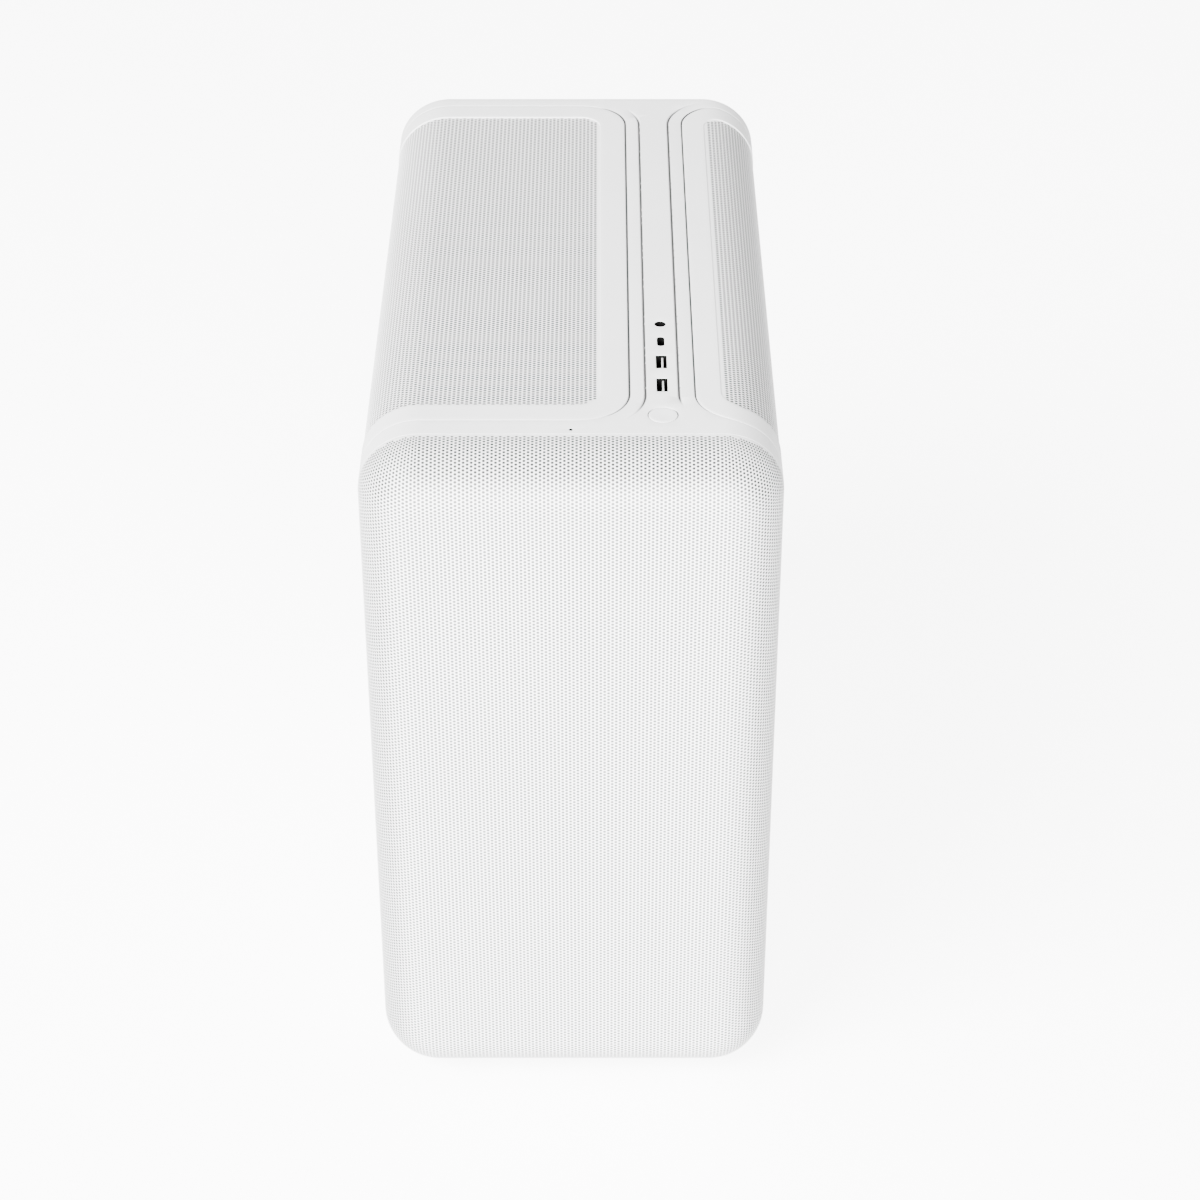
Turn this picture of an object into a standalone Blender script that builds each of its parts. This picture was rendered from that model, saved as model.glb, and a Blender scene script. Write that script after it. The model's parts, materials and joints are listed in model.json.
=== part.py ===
"""Compact white tower computer with perforated covers.

A rounded upright case: a moulded outer frame carries a domed mesh cover on the front and an L-shaped
mesh panel on each side, with a strip of ports and a power button along the top. Inside stand a steel
chassis, a motherboard with its cooler, memory, drive and radio card, a graphics card, a power supply
and fans. The origin is on the floor under the middle of the case, the front faces -Y and +Z is up.
"""

import math

import bmesh
import bpy
from mathutils import Matrix, Vector

MM = 0.001

# ---- Driving dimensions -------------------------------------------------------------------------
WIDTH = 206 * MM
DEPTH = 408 * MM
BODY_HEIGHT = 391 * MM
FOOT_HEIGHT = 4 * MM
CORNER_RADIUS = 30 * MM
FRONT_FILLET = 28 * MM
WALL = 2.5 * MM
COVER_WALL = 2 * MM
STEEL = 1.2 * MM
GAP = 0.3 * MM
PANEL_GAP = 0.5 * MM

# ---- Outer shell, along the depth and across the top ----------------------------------------------
COVER_DEPTH = 28.5 * MM
BEZEL_DEPTH = 13 * MM
REAR_LIP = 11 * MM
PANEL_CORNER = 25 * MM
MESH_CORNER = 12 * MM
MESH_BORDER = 15 * MM
MESH_INSET = 0.8 * MM
MESH_WALL = 1.2 * MM
STRIP_X = 44.5 * MM
STRIP_HALF = 16.5 * MM
LEFT_MESH_BORDER = 14 * MM
RIGHT_MESH_BORDER = 12.3 * MM

# ---- Controls and sockets on the top strip: centres along Y ---------------------------------------
BUTTON_Y = -157 * MM
BUTTON_DIAMETER = 14 * MM
BUTTON_HEIGHT = 5 * MM
BUTTON_TRAVEL_ROOM = 1 * MM
SWITCH_HEIGHT = 5 * MM
USB_A_YS = (-128.3 * MM, -105.4 * MM)
USB_A_MOUTH = (5.2 * MM, 12.5 * MM)
USB_A_TONGUE_OFFSET = 1.1 * MM
USB_C_Y = -84.8 * MM
USB_C_MOUTH = (3.2 * MM, 8.9 * MM)
JACK_Y = -66.8 * MM
JACK_MOUTH = 5 * MM
SOCKET_SHEET = 0.4 * MM
SOCKET_DEPTH = 12 * MM
TONGUE_DROP = 0.9 * MM

# ---- Chassis and front cover clips ------------------------------------------------------------------
CHASSIS_HALF = 91 * MM
CHASSIS_INSET = 12 * MM
TRAY_X = 80 * MM
RAIL_END = 20 * MM
RAIL_WEB = 28 * MM
PIN_RADIUS = 2.5 * MM
PIN_XS = (-92 * MM, 92 * MM)
PIN_ZS = (60 * MM, 340 * MM)
CLIP_RING_WIDTH = 12 * MM
FOOT_RADIUS = 8 * MM
FOOT_X = 64 * MM
FOOT_YS = (-150 * MM, 187 * MM)

# ---- Power supply and the vents under it --------------------------------------------------------------
SUPPLY_LOW = (-80 * MM, 54 * MM, 18.5 * MM)
SUPPLY_SIZE = (150 * MM, 140 * MM, 86 * MM)
SUPPLY_FAN_RADIUS = 56 * MM
SUPPLY_WINDOW_BORDER = 3 * MM
SHROUD_Z = 108 * MM
VENT_X = -5 * MM
VENT_Y = 124 * MM
VENT_HALF = 52 * MM
FILTER_Z = (8.6 * MM, 11.6 * MM)
FILTER_HALF = 64 * MM
INLET_LOW = (28 * MM, 174 * MM, 66 * MM)
INLET_SIZE = (30 * MM, 20 * MM, 24 * MM)
SWITCH_X = 12 * MM
SWITCH_Z = 78 * MM
ROCKER_TILT = math.radians(8)

# ---- Main board, its sockets and the cards ------------------------------------------------------------
BOARD_X = 72 * MM
BOARD_SIDE = 244 * MM
BOARD_BOTTOM = 122 * MM
BOARD_SHEET = 1.6 * MM
PORTS_X = (31.5 * MM, 75.5 * MM)
PORTS_Z = (206 * MM, 363 * MM)
PORT_COUNT = 5
PORT_MOUTH = (13 * MM, 14 * MM)
SLOT_X = (-44 * MM, 76 * MM)
SLOT_PITCH = 20.32 * MM
SLOT_HEIGHT = 18 * MM
SLOT_TOP = 200 * MM
CARD_LENGTH = 200 * MM
CARD_EDGE = -38 * MM
CARD_LIFT = 9 * MM
COOLER_LOW = (-66 * MM, 88 * MM, 259 * MM)
COOLER_HIGH = (38 * MM, 138 * MM, 351 * MM)
FIN_SLOTS = 7
LOOM_RADIUS = 5 * MM

# ---- Fans: side, depth ------------------------------------------------------------------------------
FRONT_FAN = (140 * MM, 25 * MM)
REAR_FAN = (92 * MM, 25 * MM)
REAR_FAN_CENTRE = (-25 * MM, 305 * MM)
CPU_FAN = (92 * MM, 25 * MM)
CARD_FAN = (88 * MM, 20 * MM)
CARD_FAN_STEP = 49 * MM
FAN_CLEARANCE = 1.5 * MM
BLADE_COUNT = 7

# ---- Resolution of the round shapes ---------------------------------------------------------------
CORNER_STEPS = 8
FILLET_STEPS = 6
ROUND_SIDES = 24

# ---- Levels worked out from the above ---------------------------------------------------------------
HALF_WIDTH = WIDTH / 2
FRONT_Y = -DEPTH / 2
REAR_Y = DEPTH / 2
BOTTOM_Z = FOOT_HEIGHT
TOP_Z = FOOT_HEIGHT + BODY_HEIGHT
FRAME_FRONT = FRONT_Y + COVER_DEPTH + PANEL_GAP
PANEL_FRONT = FRAME_FRONT + BEZEL_DEPTH
PANEL_REAR = REAR_Y - REAR_LIP
PANEL_FOOT = BOTTOM_Z + CORNER_RADIUS
LEFT_PANEL_EDGE = STRIP_X - STRIP_HALF
RIGHT_PANEL_EDGE = STRIP_X + STRIP_HALF
SPLIT_FRONT = PANEL_FRONT + PANEL_CORNER - 1 * MM
SPLIT_REAR = PANEL_REAR - PANEL_CORNER
CHASSIS_BOTTOM = BOTTOM_Z + CHASSIS_INSET
CHASSIS_TOP = TOP_Z - CHASSIS_INSET
REAR_WALL_Y = REAR_Y - 8 * MM
RAIL_Y = FRAME_FRONT + 5 * MM
CHASSIS_REAR = REAR_WALL_Y - 0.5 * MM
SUPPLY_HIGH = tuple(low + size for low, size in zip(SUPPLY_LOW, SUPPLY_SIZE))
INLET_HIGH = tuple(low + size for low, size in zip(INLET_LOW, INLET_SIZE))
BOARD_REAR = CHASSIS_REAR - 2 * MM
BRACKET_Y = REAR_WALL_Y - STEEL - GAP
SOCKET_TOP = TOP_Z - WALL - GAP
PORT_BOARD_TOP = SOCKET_TOP - SOCKET_DEPTH - GAP

LOW_X = -HALF_WIDTH - 10 * MM
HIGH_X = HALF_WIDTH + 10 * MM
HIGH_Z = TOP_Z + 10 * MM

# ---- Empty file, collections, materials -----------------------------------------------------------
for leftover in list(bpy.data.objects):
    bpy.data.objects.remove(leftover, do_unlink=True)

PARTS = bpy.data.collections.new("tower_computer")
CUTTERS = bpy.data.collections.new("cutters")
bpy.context.scene.collection.children.link(PARTS)
bpy.context.scene.collection.children.link(CUTTERS)


def finish_of(name, colour, roughness, metallic=0.0):
    """A Principled material with one colour."""
    material = bpy.data.materials.new(name)
    material.use_nodes = True
    shader = material.node_tree.nodes["Principled BSDF"]
    shader.inputs["Base Color"].default_value = (*colour, 1.0)
    shader.inputs["Roughness"].default_value = roughness
    shader.inputs["Metallic"].default_value = metallic
    return material


WHITE_PLASTIC = finish_of("white_plastic", (0.86, 0.86, 0.86), 0.45)
WHITE_MESH = finish_of("white_mesh", (0.84, 0.84, 0.84), 0.55)
BLACK_PLASTIC = finish_of("black_plastic", (0.02, 0.02, 0.022), 0.5)
TONGUE_PLASTIC = finish_of("tongue_plastic", (0.75, 0.75, 0.76), 0.5)
GALVANISED = finish_of("galvanised_steel", (0.58, 0.59, 0.60), 0.38, 1.0)
DARK_STEEL = finish_of("dark_steel", (0.08, 0.08, 0.085), 0.45, 0.6)
PLATED = finish_of("plated_steel", (0.72, 0.73, 0.74), 0.25, 1.0)
ALUMINIUM = finish_of("fin_aluminium", (0.80, 0.81, 0.82), 0.35, 1.0)
BRASS = finish_of("gold_plated_brass", (0.83, 0.65, 0.28), 0.3, 1.0)
BOARD_GREEN = finish_of("circuit_board", (0.02, 0.10, 0.05), 0.4)
RUBBER = finish_of("foot_rubber", (0.05, 0.05, 0.052), 0.8)


# ---- Shape helpers ----------------------------------------------------------------------------------
def place(bm, name, material, cutter=False):
    """Turn a bmesh into an object, in the parts' collection or among the hidden cutters."""
    bmesh.ops.recalc_face_normals(bm, faces=bm.faces)
    mesh = bpy.data.meshes.new(name)
    bm.to_mesh(mesh)
    bm.free()
    thing = bpy.data.objects.new(name, mesh)
    if cutter:
        thing.hide_render = True
        thing.display_type = "WIRE"
        CUTTERS.objects.link(thing)
    else:
        mesh.materials.append(material)
        PARTS.objects.link(thing)
    return thing


def box_mesh(low, high):
    """A bmesh box between two corners."""
    bm = bmesh.new()
    size = Vector(high) - Vector(low)
    middle = (Vector(high) + Vector(low)) / 2
    bmesh.ops.create_cube(bm, size=1.0, matrix=Matrix.Translation(middle) @ Matrix.Diagonal((*size, 1.0)))
    return bm


def box(name, low, high, material=None):
    """A plain box; with no material it is a cutter."""
    return place(box_mesh(low, high), name, material, cutter=material is None)


def rounded_box(name, low, high, axis, radius, material=None, keep=None, front_fillet=0.0):
    """A box whose edges along one axis are rounded.

    keep says, from an edge's middle, which of the four edges are rounded. front_fillet also rounds
    the whole rim of the low-Y face.
    """
    bm = box_mesh(low, high)
    edges = []
    for edge in bm.edges:
        start, end = edge.verts[0].co, edge.verts[1].co
        if abs((end - start)[axis]) > MM and (keep is None or keep((start + end) / 2)):
            edges.append(edge)
    bmesh.ops.bevel(bm, geom=edges, offset=radius, segments=CORNER_STEPS, profile=0.5,
                    affect="EDGES", clamp_overlap=False)
    if front_fillet:
        rim = [e for e in bm.edges if all(abs(v.co.y - low[1]) < 0.01 * MM for v in e.verts)]
        bmesh.ops.bevel(bm, geom=rim, offset=front_fillet, segments=FILLET_STEPS, profile=0.5,
                        affect="EDGES", clamp_overlap=False)
    return place(bm, name, material, cutter=material is None)


AXIS_TURN = {
    0: Matrix.Rotation(math.pi / 2, 4, "Y"),
    1: Matrix.Rotation(-math.pi / 2, 4, "X"),
    2: Matrix.Identity(4),
}


def round_mesh(centre, axis, radius, length, sides=ROUND_SIDES, tip_radius=None):
    """A bmesh cylinder or cone about a point, with its length along one axis."""
    bm = bmesh.new()
    top = radius if tip_radius is None else tip_radius
    bmesh.ops.create_cone(bm, cap_ends=True, segments=sides, radius1=radius, radius2=top, depth=length,
                          matrix=Matrix.Translation(centre) @ AXIS_TURN[axis])
    return bm


def rod(name, centre, axis, radius, length, material=None, sides=ROUND_SIDES, tip_radius=None):
    """A solid cylinder or cone; with no material it is a cutter."""
    bm = round_mesh(centre, axis, radius, length, sides, tip_radius)
    return place(bm, name, material, cutter=material is None)


def boolean(thing, tool, operation="DIFFERENCE"):
    """Cut, join or intersect a thing with a tool, exactly."""
    modifier = thing.modifiers.new(operation.lower(), "BOOLEAN")
    modifier.operation = operation
    modifier.solver = "EXACT"
    modifier.object = tool
    return thing


def cut(thing, *tools):
    """Take every tool's shape out of a thing."""
    for tool in tools:
        boolean(thing, tool)
    return thing


def join(thing, *tools):
    """Add every tool's shape to a thing, as one body."""
    for tool in tools:
        boolean(thing, tool, "UNION")
    return thing


def tools_in_one(name, meshes):
    """Several separate shapes as one cutter object."""
    merged = bpy.data.meshes.new(name)
    whole = bmesh.new()
    for bm in meshes:
        part = bpy.data.meshes.new(name + "_piece")
        bm.to_mesh(part)
        bm.free()
        whole.from_mesh(part)
        bpy.data.meshes.remove(part)
    whole.to_mesh(merged)
    whole.free()
    thing = bpy.data.objects.new(name, merged)
    thing.hide_render = True
    thing.display_type = "WIRE"
    CUTTERS.objects.link(thing)
    return thing


def set_origin(thing, point):
    """Move an object's origin to a point and leave its shape where it is."""
    thing.data.transform(Matrix.Translation(-Vector(point)))
    thing.location = point
    return thing


# ---- Outer shell --------------------------------------------------------------------------------------
def case_solid(name, front, rear, inset, material=None):
    """The case's rounded section, drawn in by an inset, between two depths."""
    low = (-HALF_WIDTH + inset, front, BOTTOM_Z + inset)
    high = (HALF_WIDTH - inset, rear, TOP_Z - inset)
    return rounded_box(name, low, high, 1, CORNER_RADIUS - inset, material)


def wrap_cutter(name, side, top_edge, front, rear, foot, radius):
    """The outline of a panel that wraps from the top over one side, as a cutter.

    It is the overlap of a prism seen from above, rounded where it meets the top strip, and a prism
    seen from the side, rounded at its lower corners. side is -1 on the left and 1 on the right.
    """
    outer = side * (HALF_WIDTH + 10 * MM)
    low_x, high_x = min(outer, top_edge), max(outer, top_edge)
    from_above = rounded_box(name, (low_x, front, -MM), (high_x, rear, HIGH_Z), 2, radius,
                             keep=lambda middle: abs(middle.x - top_edge) < MM)
    from_side = rounded_box(name + "_side", (LOW_X, front - MM, foot), (HIGH_X, rear + MM, HIGH_Z + MM),
                            0, radius, keep=lambda middle: middle.z < foot + MM)
    from_side.data.transform(Matrix.Translation((0, -(front + rear) / 2, 0)))
    from_side.data.transform(Matrix.Diagonal((1, (rear - front) / (rear - front + 2 * MM), 1, 1)))
    from_side.data.transform(Matrix.Translation((0, (front + rear) / 2, 0)))
    return boolean(from_above, from_side, "INTERSECT")


def panel_cutter(name, side, grow=0.0):
    """A side panel's outline; grow widens it on every side."""
    edge = LEFT_PANEL_EDGE if side < 0 else RIGHT_PANEL_EDGE
    return wrap_cutter(name, side, edge - side * grow, PANEL_FRONT - grow, PANEL_REAR + grow,
                       PANEL_FOOT - grow, PANEL_CORNER + grow)


def mesh_cutter(name, side, grow=0.0):
    """The outline of the perforated insert in a side panel."""
    border = LEFT_MESH_BORDER if side < 0 else RIGHT_MESH_BORDER
    edge = LEFT_PANEL_EDGE if side < 0 else RIGHT_PANEL_EDGE
    return wrap_cutter(name, side, edge + side * (border - grow), PANEL_FRONT + MESH_BORDER - grow,
                       PANEL_REAR - MESH_BORDER + grow, PANEL_FOOT + MESH_BORDER - grow,
                       MESH_CORNER + grow)


def build_outer_frame():
    """The moulded frame: front ring, top strip, bottom tub and rear ring, meeting on flat seams."""
    core = case_solid("frame_core", FRONT_Y, REAR_Y + 10 * MM, WALL)
    left_gap = panel_cutter("left_panel_gap", -1, PANEL_GAP)
    right_gap = panel_cutter("right_panel_gap", 1, PANEL_GAP)

    button_hole = rod("button_hole", (STRIP_X, BUTTON_Y, TOP_Z), 2, BUTTON_DIAMETER / 2 + GAP, 20 * MM)
    front_ring = case_solid("front_ring", FRAME_FRONT, SPLIT_FRONT, 0.0, WHITE_PLASTIC)
    cut(front_ring, core, left_gap, right_gap, button_hole)

    rear_ring = case_solid("rear_ring", SPLIT_REAR, REAR_Y, 0.0, WHITE_PLASTIC)
    cut(rear_ring, core, left_gap, right_gap)

    mouths = [box_mesh((STRIP_X - USB_A_MOUTH[0] / 2, y - USB_A_MOUTH[1] / 2, TOP_Z - 10 * MM),
                       (STRIP_X + USB_A_MOUTH[0] / 2, y + USB_A_MOUTH[1] / 2, HIGH_Z)) for y in USB_A_YS]
    mouths.append(round_mesh((STRIP_X, JACK_Y, TOP_Z), 2, JACK_MOUTH / 2, 20 * MM))
    slot = rounded_box("usb_c_mouth",
                       (STRIP_X - USB_C_MOUTH[0] / 2, USB_C_Y - USB_C_MOUTH[1] / 2, TOP_Z - 10 * MM),
                       (STRIP_X + USB_C_MOUTH[0] / 2, USB_C_Y + USB_C_MOUTH[1] / 2, HIGH_Z), 2,
                       0.49 * USB_C_MOUTH[0])
    strip = box("top_strip", (LEFT_PANEL_EDGE + PANEL_GAP, SPLIT_FRONT + GAP, TOP_Z - WALL),
                (RIGHT_PANEL_EDGE - PANEL_GAP, SPLIT_REAR - GAP, TOP_Z), WHITE_PLASTIC)
    cut(strip, tools_in_one("socket_mouths", mouths), slot)

    tub = case_solid("bottom_tub", SPLIT_FRONT + GAP, SPLIT_REAR - GAP, 0.0, WHITE_PLASTIC)
    upper_half = box("tub_top_cut", (LOW_X, FRONT_Y, PANEL_FOOT - PANEL_GAP), (HIGH_X, REAR_Y, HIGH_Z))
    vent = rounded_box("tub_vent", (VENT_X - VENT_HALF, VENT_Y - VENT_HALF, -MM),
                       (VENT_X + VENT_HALF, SPLIT_REAR - 6 * MM, BOTTOM_Z + 5 * MM), 2, 8 * MM)
    cut(tub, core, upper_half, vent)


def build_side_panels():
    """The two L-shaped panels and the perforated inserts set into them."""
    panel_core = case_solid("panel_core", FRONT_Y - MM, REAR_Y + MM, WALL)
    mesh_core = case_solid("mesh_core", FRONT_Y - 2 * MM, REAR_Y + 2 * MM, MESH_INSET + MESH_WALL)
    for word, side in (("left", -1), ("right", 1)):
        opening = mesh_cutter(word + "_mesh_opening", side)
        outline = panel_cutter(word + "_panel_outline", side)
        panel = case_solid(word + "_side_panel", PANEL_FRONT - MM, PANEL_REAR + MM, 0.0, WHITE_PLASTIC)
        boolean(cut(panel, panel_core), outline, "INTERSECT")
        cut(panel, opening)
        insert_outline = mesh_cutter(word + "_mesh_outline", side, -GAP)
        insert = case_solid(word + "_mesh", PANEL_FRONT, PANEL_REAR, MESH_INSET, WHITE_MESH)
        boolean(cut(insert, mesh_core), insert_outline, "INTERSECT")


def build_front_cover():
    """The domed perforated cover and the clip frame that holds it on the chassis."""
    rim = FRONT_Y + COVER_DEPTH
    dome = rounded_box("front_mesh", (-HALF_WIDTH, FRONT_Y, BOTTOM_Z), (HALF_WIDTH, rim, TOP_Z), 1,
                       CORNER_RADIUS, WHITE_MESH, front_fillet=FRONT_FILLET)
    hollow = rounded_box("cover_hollow",
                         (-HALF_WIDTH + COVER_WALL, FRONT_Y + COVER_WALL, BOTTOM_Z + COVER_WALL),
                         (HALF_WIDTH - COVER_WALL, rim + 10 * MM, TOP_Z - COVER_WALL), 1,
                         CORNER_RADIUS - COVER_WALL, front_fillet=FRONT_FILLET - COVER_WALL)
    cut(dome, hollow)

    ring_inset = COVER_WALL + 0.9 * MM
    ring = case_solid("front_cover_frame", rim - 5.5 * MM, rim, ring_inset, WHITE_PLASTIC)
    window = case_solid("cover_frame_window", rim - 20 * MM, rim + 20 * MM, ring_inset + CLIP_RING_WIDTH)
    cut(ring, window)
    pins = [round_mesh((x, rim + 2 * MM, z), 1, PIN_RADIUS, 8 * MM, 12) for x in PIN_XS for z in PIN_ZS]
    join(ring, tools_in_one("cover_pins", pins))


# ---- Chassis ------------------------------------------------------------------------------------------
def slot_range(first, count=1):
    """Low and high Z of a run of expansion slots, counted down from the top one."""
    high = SLOT_TOP - first * SLOT_PITCH
    low = high - SLOT_HEIGHT - (count - 1) * SLOT_PITCH
    return low, high


def build_chassis():
    """Folded steel: floor, roof, board tray, two front rails, rear wall and supply shroud."""
    floor = box("chassis_floor", (-CHASSIS_HALF, RAIL_Y + 3 * MM, CHASSIS_BOTTOM),
                (CHASSIS_HALF, CHASSIS_REAR, CHASSIS_BOTTOM + STEEL), GALVANISED)
    cut(floor, rod("floor_vent", (VENT_X, VENT_Y, CHASSIS_BOTTOM), 2, SUPPLY_FAN_RADIUS, 10 * MM))

    box("chassis_roof", (-CHASSIS_HALF, JACK_Y + 20 * MM, CHASSIS_TOP - STEEL),
        (CHASSIS_HALF, CHASSIS_REAR, CHASSIS_TOP), GALVANISED)
    box("board_tray", (TRAY_X, RAIL_Y + 35 * MM, CHASSIS_BOTTOM + STEEL + GAP),
        (TRAY_X + STEEL, CHASSIS_REAR, CHASSIS_TOP - STEEL - GAP), GALVANISED)

    low_z, high_z = BOTTOM_Z + RAIL_END, TOP_Z - RAIL_END
    fan_side = FRONT_FAN[0] / 2 + GAP
    for word, side in (("left", -1), ("right", 1)):
        xs = sorted((side * fan_side, side * (CHASSIS_HALF + 6 * MM)))
        rail = box("front_rail_" + word, (xs[0], RAIL_Y, low_z), (xs[1], RAIL_Y + STEEL, high_z), GALVANISED)
        xs = sorted((side * fan_side, side * (fan_side + STEEL)))
        web = box("rail_web_" + word, (xs[0], RAIL_Y + STEEL / 2, low_z), (xs[1], RAIL_Y + RAIL_WEB, high_z))
        sockets = [round_mesh((x, RAIL_Y, z), 1, PIN_RADIUS + GAP, 10 * MM, 12)
                   for x in PIN_XS for z in PIN_ZS]
        cut(join(rail, web), tools_in_one("pin_sockets_" + word, sockets))

    rear_wall = case_solid("rear_wall", REAR_WALL_Y, REAR_WALL_Y + STEEL, WALL + GAP, GALVANISED)
    low_y, high_y = REAR_WALL_Y - 10 * MM, REAR_WALL_Y + 10 * MM
    slots_low = slot_range(3)[0]
    windows = [
        box_mesh((PORTS_X[0], low_y, PORTS_Z[0]), (PORTS_X[1], high_y, PORTS_Z[1])),
        box_mesh((SLOT_X[0], low_y, slots_low - MM), (SLOT_X[1], high_y, SLOT_TOP + MM)),
        box_mesh((SUPPLY_LOW[0] + SUPPLY_WINDOW_BORDER, low_y, SUPPLY_LOW[2] + SUPPLY_WINDOW_BORDER),
                 (SUPPLY_HIGH[0] - SUPPLY_WINDOW_BORDER, high_y, SUPPLY_HIGH[2] - SUPPLY_WINDOW_BORDER)),
        box_mesh((-FILTER_HALF - 2 * MM, low_y, FILTER_Z[0] - MM),
                 (FILTER_HALF + 2 * MM, high_y, FILTER_Z[1] + MM)),
        round_mesh((REAR_FAN_CENTRE[0], REAR_WALL_Y, REAR_FAN_CENTRE[1]), 1, fan_bore(REAR_FAN[0]), 20 * MM),
    ]
    cut(rear_wall, tools_in_one("rear_windows", windows))

    box("supply_shroud", (-CHASSIS_HALF + 2 * MM, SUPPLY_LOW[1] - 20 * MM, SHROUD_Z),
        (TRAY_X - GAP, CHASSIS_REAR, SHROUD_Z + STEEL), GALVANISED)


def build_base_pieces():
    """Rubber feet, and the dust filter that slides out backwards under the power supply."""
    height = FOOT_HEIGHT - GAP
    for word_y, y in zip(("front", "rear"), FOOT_YS):
        for word_x, x in (("left", -FOOT_X), ("right", FOOT_X)):
            rod("foot_%s_%s" % (word_y, word_x), (x, y, height / 2), 2, FOOT_RADIUS, height, RUBBER, 20,
                FOOT_RADIUS + MM)

    tray = box("dust_filter", (-FILTER_HALF, VENT_Y - FILTER_HALF, FILTER_Z[0]),
               (FILTER_HALF, REAR_WALL_Y - MM, FILTER_Z[1]), BLACK_PLASTIC)
    window = box("filter_window", (VENT_X - VENT_HALF, VENT_Y - VENT_HALF, FILTER_Z[0] + 1.2 * MM),
                 (VENT_X + VENT_HALF, VENT_Y + VENT_HALF, FILTER_Z[1] + MM))
    tab = box("filter_tab", (-15 * MM, REAR_WALL_Y - 3 * MM, FILTER_Z[0]),
              (15 * MM, REAR_Y - MM, FILTER_Z[1]))
    join(cut(tray, window), tab)


# ---- Top controls -----------------------------------------------------------------------------------
def socket_shell(name, y, mouth, material):
    """A folded steel socket under the top strip, open at the top, with a closed floor."""
    half_x = mouth[0] / 2 + SOCKET_SHEET
    half_y = mouth[1] / 2 + SOCKET_SHEET
    shell = box(name, (STRIP_X - half_x, y - half_y, SOCKET_TOP - SOCKET_DEPTH),
                (STRIP_X + half_x, y + half_y, SOCKET_TOP), material)
    hollow = box(name + "_hollow", (STRIP_X - mouth[0] / 2, y - mouth[1] / 2, SOCKET_TOP - SOCKET_DEPTH + MM),
                 (STRIP_X + mouth[0] / 2, y + mouth[1] / 2, SOCKET_TOP + MM))
    return cut(shell, hollow)


def build_top_controls():
    """Power button and switch, two USB-A sockets, a USB-C socket and an audio jack on one board."""
    cap = rod("power_button", (STRIP_X, BUTTON_Y, TOP_Z - BUTTON_HEIGHT / 2), 2, BUTTON_DIAMETER / 2,
              BUTTON_HEIGHT, WHITE_PLASTIC, 32)
    switch_top = PORT_BOARD_TOP + SWITCH_HEIGHT
    stem_low = switch_top + BUTTON_TRAVEL_ROOM
    stem_high = TOP_Z - BUTTON_HEIGHT / 2
    stem = rod("button_stem", (STRIP_X, BUTTON_Y, (stem_low + stem_high) / 2), 2, 2 * MM,
               stem_high - stem_low, sides=12)
    set_origin(join(cap, stem), (STRIP_X, BUTTON_Y, TOP_Z))

    box("power_switch", (STRIP_X - 3 * MM, BUTTON_Y - 3 * MM, PORT_BOARD_TOP + GAP),
        (STRIP_X + 3 * MM, BUTTON_Y + 3 * MM, switch_top), BLACK_PLASTIC)

    tongue_top = SOCKET_TOP - TONGUE_DROP
    for word, y in zip(("front", "rear"), USB_A_YS):
        socket_shell("usb_a_shell_" + word, y, USB_A_MOUTH, PLATED)
        middle = STRIP_X + USB_A_TONGUE_OFFSET
        box("usb_a_tongue_" + word, (middle - 0.7 * MM, y - 5.5 * MM, SOCKET_TOP - SOCKET_DEPTH + MM + GAP),
            (middle + 0.7 * MM, y + 5.5 * MM, tongue_top), TONGUE_PLASTIC)

    shell = socket_shell("usb_c_socket", USB_C_Y, USB_C_MOUTH, PLATED)
    join(shell, box("usb_c_tongue",
                    (STRIP_X - 0.35 * MM, USB_C_Y - 3.2 * MM, SOCKET_TOP - SOCKET_DEPTH + GAP),
                    (STRIP_X + 0.35 * MM, USB_C_Y + 3.2 * MM, tongue_top)))

    jack = box("audio_jack", (STRIP_X - 3.5 * MM, JACK_Y - 4 * MM, SOCKET_TOP - SOCKET_DEPTH),
               (STRIP_X + 3.5 * MM, JACK_Y + 4 * MM, SOCKET_TOP), BLACK_PLASTIC)
    cut(jack, rod("jack_bore", (STRIP_X, JACK_Y, SOCKET_TOP), 2, 1.8 * MM, 2 * SOCKET_DEPTH - 4 * MM,
                  sides=16))

    box("port_board", (STRIP_X - 11 * MM, BUTTON_Y - 8 * MM, PORT_BOARD_TOP - BOARD_SHEET),
        (STRIP_X + 11 * MM, JACK_Y + 8 * MM, PORT_BOARD_TOP), BOARD_GREEN)


# ---- Fans -----------------------------------------------------------------------------------------------
FRAME_PLATE = 2.5 * MM
HUB_SHARE = 0.16
BLADE_PITCH = math.radians(38)


def fan_bore(side):
    """Radius of the round opening in a square fan."""
    return side / 2 - 3 * MM


def spoke_mesh(centre, axis, turn, start, end, width, thickness, pitch=0.0):
    """A flat bar that runs outwards from an axis, from start to end, turned about it and pitched."""
    reach = (axis + 1) % 3
    along = Matrix.Rotation(turn, 4, Vector([float(k == axis) for k in range(3)]))
    tilt = Matrix.Rotation(pitch, 4, Vector([float(k == reach) for k in range(3)]))
    size = Vector((width, width, width))
    size[reach] = end - start
    size[axis] = thickness
    shift = Vector((0.0, 0.0, 0.0))
    shift[reach] = (start + end) / 2
    bar = bmesh.new()
    bmesh.ops.create_cube(bar, size=1.0, matrix=Matrix.Translation(centre) @ along @ Matrix.Translation(shift)
                          @ tilt @ Matrix.Diagonal((*size, 1.0)))
    return bar


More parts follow.
